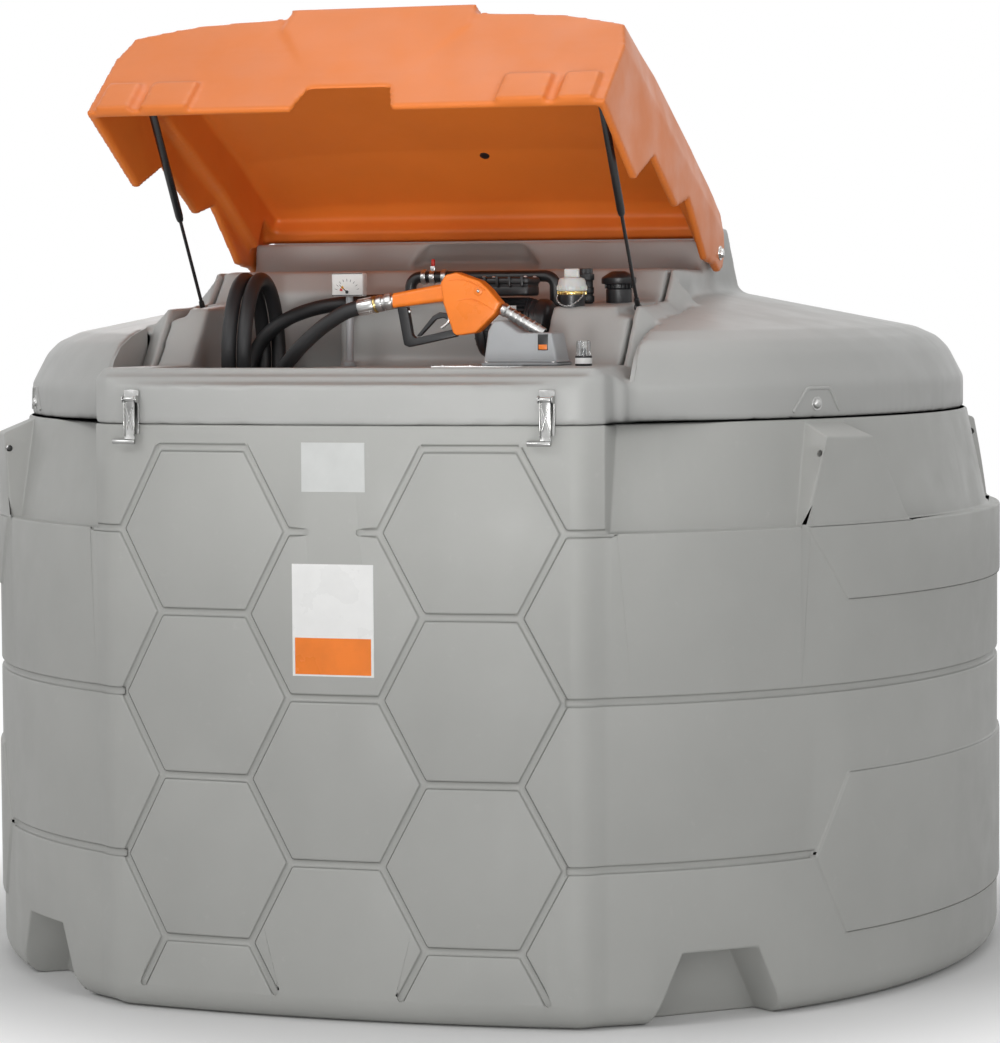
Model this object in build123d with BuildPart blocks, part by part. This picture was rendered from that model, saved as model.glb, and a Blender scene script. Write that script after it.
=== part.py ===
from build123d import *
import os
from math import asin, atan2, cos, degrees, hypot, radians, sin, tan

os.makedirs("parts", exist_ok=True)

# Frame: millimetres, +Z up, origin at the centre of the base.
# The front, with the lid's opening, faces -Y.

# Plan of the tank, a square with strongly rounded sides
half_width = 1194.0
side_radius = 1.195 * half_width
corner_radius = 0.998 * half_width
side_sweep = 22.0
corner_sweep = 38.0
panel_apex = half_width + 9.0
panel_radius = 3240.0
panel_half_chord = 540.0
panel_half_width = panel_half_chord + 40.0
panel_turn_radius = 80.0
panel_setback = 150.0

# Heights of the outer tank
seam_height = 1283.0
shoulder_height = 1055.0
groove_levels = (344.0, 700.0)
bottom_rounding = 60.0

# Walls, grooves and gaps
wall = 10.0
groove_depth = 8.0
groove_height = 16.0
shoulder_inset = 26.0
neck_inset = 74.0
tank_gap = 25.0
raised_panel = 6.0
cover_wall = 12.0

# Honeycomb channels on the front and back panels
hex_edge = 207.6
hex_point = 95.2
hex_half_height = 178.0
hex_middle_level = 700.0
channel_width = 15.0
channel_depth = 6.0
channel_foot = 62.0
badge_half_width = 60.0
hex_inner = hex_edge / 2
hex_near = hex_inner + hex_point
hex_far = hex_near + hex_edge
hex_outer = hex_far + hex_point

# Raised panels on the two sides: (half length, height) of each outline's corners
upper_side_panel = ((805.0, 1055.0), (706.0, 892.0))
lower_side_panel = ((703.0, 515.0), (787.0, 337.0), (712.0, 162.0))

# Lifting lugs and base pockets, one at each corner
lug_heading = 28.5
lug_base = 360.0
lug_top = 112.0
lug_top_shift = -46.0
lug_depth = 110.0
lug_slope = (90.0, 40.0)
lug_eye = 15.0
lug_eye_height = 1211.0
lug_eye_depth = 16.0
pocket_heading = 47.5
pocket_base = 330.0
pocket_top = 185.0
pocket_height = 157.0
pocket_depth = 115.0
pocket_taper = 8.0
pocket_outside = 60.0

# Top cover
dome_sections = ((82.0, 1358.0), (118.0, 1427.0), (146.0, 1455.0), (198.0, 1478.0), (640.0, 1566.0))
rim_half_width = 562.0
rim_step = 20.0
rim_drop = 17.0
band_share = 0.8
rim_inner_half_width = 546.0
rim_front = panel_apex - 78.0
rim_front_height = 1405.0
opening_front = panel_apex - 90.0
opening_back = 205.0
riser_1 = ((-862.0, rim_front_height), (-762.0, 1531.0))
riser_2 = ((-520.0, 1543.0), (-455.0, 1616.0))
platform_height = 1616.0
hump_front = 200.0
hump_height = 1684.0
ridge_front = 80.0
ridge_height = 1714.0
back_shelf_height = 1371.0
ridge_back = -30.0
hump_back = -170.0
hump_base = 1540.0
hump_void_base = 1500.0
hump_void = 52.0
hump_recess = ((165.0, 1618.0), (122.0, 1676.0))
hump_recess_depth = 20.0
hump_slot = ((148.0, 1628.0), (126.0, 1652.0))
hump_slot_depth = 14.0

# Lid, hinged at the back of the opening
hinge_y = -150.0
hinge_z = 1653.0
hinge_pin = 12.0
open_angle = 31.7
lid_wall = 18.0
lid_side_clearance = 6.0
lid_front_clearance = 6.0
lid_seat_clearance = 5.0
pin_clearance = 0.3

# Gas struts
strut_x = 520.0
strut_diameter = 18.0
rod_diameter = 8.0
strut_foot = (-637.0, 1528.0)
strut_head = (-997.0, 1526.0)
strut_body_length = 300.0
strut_eye = 16.0
head_plate = 8.0

# Toggle latches
latch_x = 470.0
latch_plate_width = 34.0
latch_plate_height = 96.0
latch_top = 1358.0
latch_pin_drop = 20.0
latch_thickness = 3.0
latch_lever_length = 92.0

# Equipment bay
moulding_gap = 6.0
bay_floor = 1398.0
hose_well_floor = 1268.0
hose_diameter = 33.0
hose_loop_radius = 150.0


def corner_centre():
    """Centre of the corner arc, tangent to the side arc."""
    x = half_width - side_radius + (side_radius - corner_radius) * cos(radians(side_sweep))
    y = -(side_radius - corner_radius) * sin(radians(side_sweep))
    return x, y


def corner_point(heading, inset=0.0):
    """Point of the corner arc where the outward normal points 'heading' degrees off +X."""
    x, y = corner_centre()
    r = corner_radius - inset
    return x + r * cos(radians(heading)), y - r * sin(radians(heading))


def body_outline(inset):
    """Plan of the tank with its front and back panels, drawn in by 'inset'."""
    turn = degrees(asin(panel_half_chord / panel_radius))
    panel_y = panel_radius - panel_apex
    panel_end = (
        (panel_radius - inset) * sin(radians(turn)),
        panel_y - (panel_radius - inset) * cos(radians(turn)),
    )
    with BuildSketch() as plan:
        with BuildLine():
            CenterArc((half_width - side_radius, 0), side_radius - inset, 0, -side_sweep)
            CenterArc(corner_centre(), corner_radius - inset, -side_sweep, -corner_sweep)
            Line(corner_point(side_sweep + corner_sweep, inset), panel_end)
            CenterArc((0, panel_y), panel_radius - inset, 270, turn)
            mirror(about=Plane.XZ)
            mirror(about=Plane.YZ)
        make_face()
        turns = plan.vertices().filter_by(lambda v: abs(v.Y) > 0.75 * half_width and abs(v.X) > 1)
        fillet(turns, panel_turn_radius)
    return plan.sketch


def dome_outline(inset):
    """The rounded plan alone, without the panels."""
    x, y = corner_point(side_sweep + corner_sweep, inset)
    with BuildSketch() as plan:
        with BuildLine():
            CenterArc((half_width - side_radius, 0), side_radius - inset, 0, -side_sweep)
            CenterArc(corner_centre(), corner_radius - inset, -side_sweep, -corner_sweep)
            Line((x, y), (0, y))
            mirror(about=Plane.XZ)
            mirror(about=Plane.YZ)
        make_face()
    return plan.sketch


def panel_outline(half, inset=0.0, front=True, back=True):
    """Plan of the front and back panels alone, with straight sides."""
    with BuildSketch() as plan:
        add(body_outline(inset))
        Rectangle(2 * half, 3 * half_width, mode=Mode.INTERSECT)
        if not front:
            with Locations((0, -half_width)):
                Rectangle(2 * half, 2 * half_width, mode=Mode.SUBTRACT)
        if not back:
            with Locations((0, half_width)):
                Rectangle(2 * half, 2 * half_width, mode=Mode.SUBTRACT)
    return plan.sketch



def honeycomb():
    """Centre lines of the channels on the right half of a panel, each a list of (x, z) points."""
    levels = [hex_middle_level + step * hex_half_height for step in range(3, -4, -1)]
    foot_share = (levels[-1] - channel_foot) / hex_half_height
    lines = []
    for at_even, at_odd in ((hex_near, hex_inner), (hex_far, hex_outer)):
        zigzag = [(at_odd if step % 2 else at_even, z) for step, z in enumerate(levels)]
        foot = (at_even + (at_odd - at_even) * foot_share, channel_foot)
        lines.append(zigzag + [foot])
    lines += [[(hex_near, z), (hex_far, z)] for z in levels[::2]]
    lines += [[(0, z), (hex_inner, z)] for z in levels[3::2]]
    lines.append([(badge_half_width, levels[1]), (hex_inner, levels[1])])
    lines.append([(hex_outer, levels[1]), (panel_half_width + channel_width, levels[1])])
    return lines


# Cutter for the channels: bands seen from the front, cut down to the channel's depth
with BuildPart() as channels:
    with BuildSketch(Plane.XZ.offset(panel_apex - panel_setback)):
        for line in honeycomb():
            for (x1, z1), (x2, z2) in zip(line, line[1:]):
                slope = degrees(atan2(z2 - z1, x2 - x1))
                with Locations(((x1 + x2) / 2, (z1 + z2) / 2)):
                    SlotCenterToCenter(hypot(x2 - x1, z2 - z1), channel_width, rotation=slope)
        mirror(about=Plane.YZ)
    extrude(amount=2 * panel_setback)
    mirror(about=Plane.XZ)
    with BuildSketch():
        add(body_outline(channel_depth))
    extrude(amount=seam_height, mode=Mode.SUBTRACT)

# Raised panels of the two sides, cut to the plan
with BuildPart() as side_panels:
    with BuildSketch(Plane.YZ.offset(-1.1 * half_width)):
        for corners in (upper_side_panel, lower_side_panel):
            with BuildLine():
                Polyline(*corners, *[(-y, z) for y, z in reversed(corners)], close=True)
            make_face()
    extrude(amount=2.2 * half_width)
    with BuildSketch():
        add(dome_outline(-raised_panel))
        Rectangle(1.5 * half_width, 3 * half_width, mode=Mode.SUBTRACT)
    extrude(amount=seam_height, mode=Mode.INTERSECT)


def corner_plane(heading):
    """Upright plane on the corner's face: x along the face towards the back, z outwards."""
    x, y = corner_point(heading)
    turn = radians(heading)
    return Plane(origin=(x, y, 0), x_dir=(sin(turn), cos(turn), 0), z_dir=(cos(turn), -sin(turn), 0))


# Lifting lugs: a tapering block on the shoulder, flush with the corner's face
lug_face = corner_plane(lug_heading)
lug_section = Plane(origin=lug_face.origin, x_dir=lug_face.z_dir, z_dir=-lug_face.x_dir)
lug_foot = shoulder_height - wall
with BuildPart() as lugs:
    with BuildSketch(lug_face.offset(wall)):
        with BuildLine():
            Polyline(
                (-lug_base / 2, lug_foot),
                (lug_base / 2, lug_foot),
                (lug_top_shift + lug_top / 2, seam_height),
                (lug_top_shift - lug_top / 2, seam_height),
                close=True,
            )
        make_face()
    extrude(amount=-lug_depth - wall)
    # its top slopes up inwards behind a rounded corner
    with BuildSketch(lug_section.offset(-lug_base)):
        with BuildLine():
            Polyline(
                (-2 * lug_depth, lug_foot),
                (3, lug_foot),
                (3, seam_height - lug_slope[1]),
                (-lug_slope[0], seam_height),
                (-2 * lug_depth, seam_height),
                close=True,
            )
        make_face()
    extrude(amount=2 * lug_base, mode=Mode.INTERSECT)
    with BuildSketch(Plane.XY.offset(lug_foot)):
        add(dome_outline(0))
    extrude(amount=seam_height - lug_foot, mode=Mode.INTERSECT)
    with BuildSketch(lug_section.offset(-lug_base / 2 - wall)):
        with Locations((-lug_eye_depth, lug_eye_height)):
            Circle(lug_eye / 2)
    extrude(amount=lug_base + 2 * wall, mode=Mode.SUBTRACT)
    mirror(about=Plane.XZ)
    mirror(about=Plane.YZ)


def pocket_room(extra):
    """Room of the base pockets, grown by 'extra' for the walls and gaps round them."""
    face = corner_plane(pocket_heading)
    side_slope = (pocket_base - pocket_top) / 2 / pocket_height
    with BuildPart() as room:
        for depth in (-pocket_outside, pocket_depth + extra):
            grow = extra - depth * tan(radians(pocket_taper))
            top = pocket_height + grow
            with BuildSketch(face.offset(-depth)):
                with BuildLine():
                    Polyline(
                        (pocket_top / 2 + grow, top),
                        (pocket_top / 2 + grow + (top + pocket_outside) * side_slope, -pocket_outside),
                        (-pocket_top / 2 - grow - (top + pocket_outside) * side_slope, -pocket_outside),
                        (-pocket_top / 2 - grow, top),
                        close=True,
                    )
                make_face()
        loft(ruled=True)
        mirror(about=Plane.XZ)
        mirror(about=Plane.YZ)
    return room.part

# Inside of the outer tank
with BuildPart() as bund_cavity:
    with BuildSketch(Plane.XY.offset(wall)):
        add(dome_outline(bottom_rounding))
    with BuildSketch(Plane.XY.offset(bottom_rounding)):
        add(dome_outline(wall + groove_depth))
    loft(ruled=True)
    with BuildSketch(Plane.XY.offset(bottom_rounding)):
        add(dome_outline(wall + groove_depth))
    extrude(amount=shoulder_height - wall - bottom_rounding)
    with BuildSketch(Plane.XY.offset(shoulder_height - wall)):
        add(dome_outline(wall + shoulder_inset))
    with BuildSketch(Plane.XY.offset(seam_height)):
        add(dome_outline(wall + neck_inset))
    loft(ruled=True)
    # the front and back panels are hollow too
    with BuildSketch(Plane.XY.offset(bottom_rounding)):
        add(panel_outline(panel_half_width - 2 * wall, wall + channel_depth))
    extrude(amount=seam_height - bottom_rounding)
    add(pocket_room(wall), mode=Mode.SUBTRACT)

# Outer tank: the bund, a one-piece moulding open at the top
with BuildPart() as outer_tank:
    with BuildSketch():
        add(body_outline(0))
    extrude(amount=shoulder_height)
    fillet(outer_tank.faces().sort_by(Axis.Z)[0].edges(), bottom_rounding)
    # drawn-in neck above the shoulder
    with BuildSketch(Plane.XY.offset(shoulder_height)):
        add(dome_outline(shoulder_inset))
    with BuildSketch(Plane.XY.offset(seam_height)):
        add(dome_outline(neck_inset))
    loft(ruled=True)
    # the panels carry on straight up to the seam
    with BuildSketch(Plane.XY.offset(shoulder_height)):
        add(panel_outline(panel_half_width))
    extrude(amount=seam_height - shoulder_height)
    # grooves that run round from the honeycomb's outer points
    for level in groove_levels:
        with BuildSketch(Plane.XY.offset(level - groove_height / 2)):
            Rectangle(3 * half_width, 3 * half_width)
            Rectangle(2 * hex_outer, 3 * half_width, mode=Mode.SUBTRACT)
            add(body_outline(groove_depth), mode=Mode.SUBTRACT)
        extrude(amount=groove_height, mode=Mode.SUBTRACT)
    add(channels.part, mode=Mode.SUBTRACT)
    add(side_panels.part)
    add(lugs.part)
    add(bund_cavity.part, mode=Mode.SUBTRACT)
    add(pocket_room(0), mode=Mode.SUBTRACT)

outer_tank.part.label = "outer_tank"
export_step(outer_tank.part, "parts/outer_tank.step")

# Inner tank: stands on the bund's floor with a gap all round
inner_inset = wall + groove_depth + tank_gap
inner_neck_inset = wall + neck_inset + tank_gap
inner_roof = 1250.0


def tank_body(extra, base):
    """Pairs of sections, (inset, height), of the inner tank, drawn in by 'extra' for its inside."""
    sections = (
        (bottom_rounding + tank_gap + extra, base),
        (inner_inset + extra, base + bottom_rounding),
        (inner_inset + extra, shoulder_height - 3 * wall),
        (inner_neck_inset + extra, inner_roof),
    )
    return zip(sections, sections[1:])


with BuildPart() as fuel_room:
    for section_pair in tank_body(wall, 2 * wall):
        for inset, height in section_pair:
            with BuildSketch(Plane.XY.offset(height)):
                add(dome_outline(inset))
        loft(ruled=True)
    add(pocket_room(2 * wall + tank_gap), mode=Mode.SUBTRACT)

with BuildPart() as inner_tank:
    for section_pair in tank_body(0, wall):
        for inset, height in section_pair:
            with BuildSketch(Plane.XY.offset(height)):
                add(dome_outline(inset))
        loft(ruled=True)
    add(pocket_room(wall + tank_gap), mode=Mode.SUBTRACT)
    add(fuel_room.part, mode=Mode.SUBTRACT)

inner_tank.part.label = "inner_tank"
export_step(inner_tank.part, "parts/inner_tank.step")

# Inner tank's top: roof plate with the equipment bay moulded on it
pad_half_width = rim_inner_half_width - moulding_gap
tray_front = opening_front - moulding_gap
tray_back = opening_back + moulding_gap
roof_plate = 12.0
well_x = (-458.0, -215.0)
well_y = (-1085.0, -500.0)
right_pad_x = 360.0
bay_back = -560.0
strut_channel = 30.0
strut_channel_floor = 1511.0
strut_channel_y = (-795.0, -575.0)
channel_inner = strut_x - strut_channel / 2


def step_profile(drop, front, back):
    """Points of the stepped side of the rim, 'drop' below its top edge."""
    (y1, z1), (y2, z2) = riser_1
    (y3, z3), (y4, z4) = riser_2
    slope_1 = (y2 - y1) / (z2 - z1)
    slope_2 = (y4 - y3) / (z4 - z3)
    shift_1 = drop * (hypot(1, slope_1) - slope_1)
    shift_2 = drop * (hypot(1, slope_2) - slope_2)
    return [
        (front, z1 - drop),
        (y1 + shift_1, z1 - drop),
        (y2 + shift_1, z2 - drop),
        (y3 + shift_2, z3 - drop),
        (y4 + shift_2, z4 - drop),
        (back, platform_height - drop),
    ]


with BuildPart() as inner_tank_top:
    with BuildSketch(Plane.XY.offset(inner_roof)):
        add(dome_outline(inner_neck_inset))
    extrude(amount=roof_plate)
    # bay block with the same stepped sides as the rim round it
    with BuildSketch(Plane.YZ):
        with BuildLine():
            points = step_profile(0, -tray_front, -tray_back)
            Polyline(*points, (-tray_back, inner_roof), (-tray_front, inner_roof), close=True)
        make_face()
    extrude(amount=pad_half_width, both=True)
    # hollow from below, under the floor and under the right pad
    with BuildSketch(Plane.XY.offset(inner_roof)):
        with Locations(((well_x[1] + right_pad_x) / 2 + roof_plate, -(tray_front + tray_back) / 2)):
            Rectangle(right_pad_x - well_x[1], tray_front - tray_back - 2 * roof_plate)
    extrude(amount=bay_floor - roof_plate - inner_roof, mode=Mode.SUBTRACT)
    with BuildSketch(Plane.YZ.offset(right_pad_x + roof_plate)):
        with BuildLine():
            points = step_profile(roof_plate, -tray_front + roof_plate, -tray_back - roof_plate)
            foot_points = ((-tray_back - roof_plate, inner_roof), (-tray_front + roof_plate, inner_roof))
            Polyline(*points, *foot_points, close=True)
        make_face()
    extrude(amount=channel_inner - right_pad_x - 2 * roof_plate, mode=Mode.SUBTRACT)
    # floor between the two side pads
    with BuildSketch(Plane.XY.offset(bay_floor)):
        with Locations(((well_x[0] + right_pad_x) / 2, (bay_back - tray_front) / 2)):
            Rectangle(right_pad_x - well_x[0], tray_front + bay_back)
    extrude(amount=300, mode=Mode.SUBTRACT)
    # well of the hose coil
    with BuildSketch(Plane.XY.offset(hose_well_floor)):
        with Locations(((well_x[0] + well_x[1]) / 2, (well_y[0] + well_y[1]) / 2)):
            Rectangle(well_x[1] - well_x[0], well_y[1] - well_y[0])
    extrude(amount=400, mode=Mode.SUBTRACT)
    # channels for the closed struts
    with BuildSketch(Plane.XY.offset(strut_channel_floor)):
        for side in (-1, 1):
            with Locations((side * (channel_inner + pad_half_width) / 2, sum(strut_channel_y) / 2)):
                Rectangle(pad_half_width - channel_inner, strut_channel_y[1] - strut_channel_y[0])
    extrude(amount=60, mode=Mode.SUBTRACT)

inner_tank_top.part.label = "inner_tank_top"
export_step(inner_tank_top.part, "parts/inner_tank_top.step")

# Top cover: dome, stepped rim of the opening and the hump behind it
rim_bands = (
    (rim_half_width, 0.0, rim_front),
    (rim_half_width + rim_step, rim_drop, rim_front + 27.0),
    (rim_half_width + 2 * rim_step, 2 * rim_drop, panel_apex),
)
rim_outer_half_width = rim_half_width + 2 * rim_step
riser_foot, riser_head = step_profile(rim_drop, 0, 0)[3:5]
side_end = riser_foot[0] + band_share * (riser_head[0] - riser_foot[0])

with BuildPart() as top_cover:
    sections = ((dome_sections[0][0], seam_height),) + dome_sections
    for (low_inset, low_z), (high_inset, high_z) in zip(sections, sections[1:]):
        with BuildSketch(Plane.XY.offset(low_z)):
            add(dome_outline(low_inset))
        with BuildSketch(Plane.XY.offset(high_z)):
            add(dome_outline(high_inset))
        loft(ruled=True)
    # back panel, up to a low sloping shelf behind the dome
    with BuildSketch(Plane.XY.offset(seam_height)):
        add(panel_outline(panel_half_width, front=False))
    extrude(amount=back_shelf_height - seam_height)
    # hollow inside
    for (low_inset, low_z), (high_inset, high_z) in zip(sections, sections[1:]):
        with BuildSketch(Plane.XY.offset(low_z - cover_wall * (low_z > seam_height))):
            add(dome_outline(low_inset + cover_wall))
        with BuildSketch(Plane.XY.offset(high_z - cover_wall)):
            add(dome_outline(high_inset + cover_wall))
        loft(ruled=True, mode=Mode.SUBTRACT)
    with BuildSketch(Plane.XY.offset(seam_height)):
        add(panel_outline(panel_half_width - cover_wall, cover_wall, front=False))
    extrude(amount=back_shelf_height - seam_height - cover_wall, mode=Mode.SUBTRACT)
    # room for the rim, narrower behind the lower bands
    with BuildSketch(Plane.XY.offset(seam_height)):
        with Locations((0, (side_end - panel_apex) / 2)):
            Rectangle(2 * rim_outer_half_width, panel_apex + side_end)
        with Locations((0, -(panel_apex + opening_back) / 2)):
            Rectangle(2 * rim_half_width - cover_wall, panel_apex - opening_back)
    extrude(amount=600, mode=Mode.SUBTRACT)
    # stepped bands, each lower and further out than the one inside it
    for half, drop, front in rim_bands:
        points = step_profile(drop, -front, -opening_back)
        if drop > 0:
            # the lower bands end part of the way up the second riser
            (y3, z3), (y4, z4) = points[3:5]
            points[4:] = [(y3 + band_share * (y4 - y3), z3 + band_share * (z4 - z3))]
        with BuildSketch(Plane.YZ):
            with BuildLine():
                Polyline(*points, (points[-1][0], seam_height), (-front, seam_height), close=True)
            make_face()
        extrude(amount=half, both=True)
    # hump that carries the hinge
    with BuildSketch(Plane.YZ):
        with BuildLine():
            Polyline(
                (-opening_back - 1, hump_base),
                (-opening_back - 1, platform_height),
                (-hump_front, hump_height),
                (-ridge_front, hump_height),
                (-ridge_front + 12, ridge_height),
                (-ridge_back, ridge_height),
                (-hump_back, hump_base),
                close=True,
            )
        make_face()
    extrude(amount=rim_half_width, both=True)
    with BuildSketch(Plane.YZ):
        with BuildLine():
            Polyline(
                (-opening_back + hump_void, hump_void_base),
                (-opening_back + hump_void, hump_height - 60),
                (-ridge_back, hump_height - 60),
                (-hump_back - 60, hump_base),
                (-hump_back - 60, hump_void_base),
                close=True,
            )
        make_face()
    extrude(amount=rim_half_width - 4 * cover_wall, both=True, mode=Mode.SUBTRACT)
    # recess in the hump's front face, with a slot in it
    for corners, depth in (
        (hump_recess, hump_recess_depth),
        (hump_slot, hump_recess_depth + hump_slot_depth),
    ):
        with BuildSketch(Plane.XZ.offset(hump_front - depth)):
            with BuildLine():
                Polyline(*corners, *[(-x, z) for x, z in reversed(corners)], close=True)
            make_face()
        extrude(amount=depth + hump_void, mode=Mode.SUBTRACT)
    # bowed front face, flush with the tank's front panel
    with BuildSketch(Plane.XY.offset(seam_height)):
        with Locations((0, -half_width)):
            Rectangle(2 * rim_outer_half_width, half_width)
        add(panel_outline(panel_half_width), mode=Mode.SUBTRACT)
        with Locations((0, -half_width / 2 + panel_setback / 2)):
            Rectangle(2 * rim_outer_half_width, half_width - panel_setback, mode=Mode.SUBTRACT)
    extrude(amount=400, mode=Mode.SUBTRACT)
    # opening
    with BuildSketch(Plane.XY.offset(seam_height)):
        with Locations((0, -(opening_front + opening_back) / 2)):
            Rectangle(2 * rim_inner_half_width, opening_front - opening_back)
    extrude(amount=600, mode=Mode.SUBTRACT)

top_cover.part.label = "top_cover"
export_step(top_cover.part, "parts/top_cover.step")

# Lid: built in its own closed frame, which stands open by 'open_angle' about the hinge
lift = radians(open_angle)
lid_y_dir = Vector(0, cos(lift), -sin(lift))
lid_z_dir = Vector(0, sin(lift), cos(lift))
hinge = Vector(0, hinge_y, hinge_z)
lid_side_plane = Plane(origin=hinge, x_dir=lid_y_dir, z_dir=(1, 0, 0))
lid_inner_half_width = rim_half_width + lid_side_clearance
lid_half_width = lid_inner_half_width + lid_wall
lid_lean = 24.0
lid_lean_base = 60.0
lid_lean_height = 87.0
lid_inner_front = -rim_front - lid_front_clearance
lid_front = lid_inner_front - lid_wall - 2
lid_rear = -138.0
lid_rear_edge = 1713.0

# Roof line from front to back at the lid's sides, and the ceiling under it
lid_roof = ((-1049.0, 1660.0), (-766.0, 1722.0), (-419.0, 1764.0), (-200.0, 1775.0), (-150.0, 1768.0))
lid_ceiling = ((-1034.0, 1644.0), (-762.0, 1703.0), (-418.0, 1745.0), (-200.0, 1757.0), (-164.0, 1752.0))
# How much higher each of these points lies in the middle, and how that fades towards the sides
lid_crown = (62.0, 40.0, 30.0, 12.0, 0.0)
lid_stations = ((-1.0, 0.0), (-0.72, 0.75), (-0.41, 1.0), (0.41, 1.0), (0.72, 0.75), (1.0, 0.0))

seat = step_profile(rim_drop - lid_seat_clearance, lid_front, 0)
tooth_2 = (seat[3][0] - 20, seat[3][1])
notch_2 = (seat[4][0] - 6, seat[4][1])
lid_ear = ((-250.0, 1571.0), (-172.0, 1606.0), (-128.0, 1612.0), (-106.0, 1640.0), (-106.0, 1672.0))
front_lean = (lid_roof[0][0] - lid_front) / (lid_roof[0][1] - seat[0][1])


def in_lid(points):
    """Closed-frame points (y, z) as places in the lid's side plane."""
    return [(y - hinge_y, z - hinge_z) for y, z in points]


def crowned(points, share):
    """Roof or ceiling points raised by their share of the crown; the first stays on the front wall."""
    raised = [(y, z + share * rise) for (y, z), rise in zip(points, lid_crown)]
    raised[0] = (points[0][0] + share * lid_crown[0] * front_lean, raised[0][1])
    return raised


# mean slope of the roof, from its front corner to its highest point
roof_rise = atan2(lid_roof[3][1] - lid_roof[0][1], lid_roof[3][0] - lid_roof[0][0])
roof_dir = lid_y_dir * cos(roof_rise) + lid_z_dir * sin(roof_rise)

# Plane on the lid's front wall: x across, y up the wall from its lower edge, z outwards
front_dir = (lid_y_dir * front_lean + lid_z_dir).normalized()
front_foot = hinge + lid_y_dir * (lid_front - hinge_y) + lid_z_dir * (seat[0][1] - hinge_z)
front_plane = Plane(origin=front_foot, x_dir=(1, 0, 0), z_dir=Vector(1, 0, 0).cross(front_dir))

# Raised panel in the middle of the front wall and the roof
lid_panel_foot = (115.0, 135.0)
lid_panel_top = (215.0, 300.0)
lid_panel_rise = 24.0
with BuildPart() as lid_panel:
    with BuildSketch(front_plane):
        with BuildLine():
            Polyline(lid_panel_foot, lid_panel_top, (lid_panel_top[0], 2 * half_width))
            mirror(about=Plane.YZ)
            Line(lid_panel_foot, (-lid_panel_foot[0], lid_panel_foot[1]))
            Line((lid_panel_top[0], 2 * half_width), (-lid_panel_top[0], 2 * half_width))
        make_face()
    extrude(amount=half_width, both=True)
    roof_front, roof_middle, roof_back = crowned(lid_roof, 1)[:3]
    panel_rise = lid_panel_foot[1] / hypot(1, front_lean)
    panel_foot = (lid_front + panel_rise * front_lean, seat[0][1] + panel_rise)
    with BuildSketch(lid_side_plane):
        with BuildLine():
            Polyline(
                *in_lid(
                    [
                        panel_foot,
                        (roof_front[0], roof_front[1] + lid_panel_rise),
                        (roof_middle[0], roof_middle[1] + lid_panel_rise),
                        roof_back,
                        (roof_back[0], roof_back[1] - lid_wall / 2),
                        (roof_middle[0], roof_middle[1] - lid_wall / 2),
                        (roof_front[0] + lid_wall / 4, roof_front[1] - lid_wall / 2),
                        (panel_foot[0] + lid_wall / 2, panel_foot[1]),
                    ]
                ),
                close=True,
            )
        make_face()
    extrude(amount=lid_half_width, both=True, mode=Mode.INTERSECT)

# Blocks on the front wall's lower edge, each with a slot for its latch, and the notch between them
lid_block = (latch_x - 120.0, latch_x + 90.0)
lid_block_height = 100.0
lid_block_depth = 14.0
lid_slot = 30.0
lid_block_halves = ((lid_block[0], latch_x - lid_slot / 2), (latch_x + lid_slot / 2, lid_block[1]))
lid_notch = ((121.0, -20.0), (90.0, 79.0))
lid_notch_depth = 60.0

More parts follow.
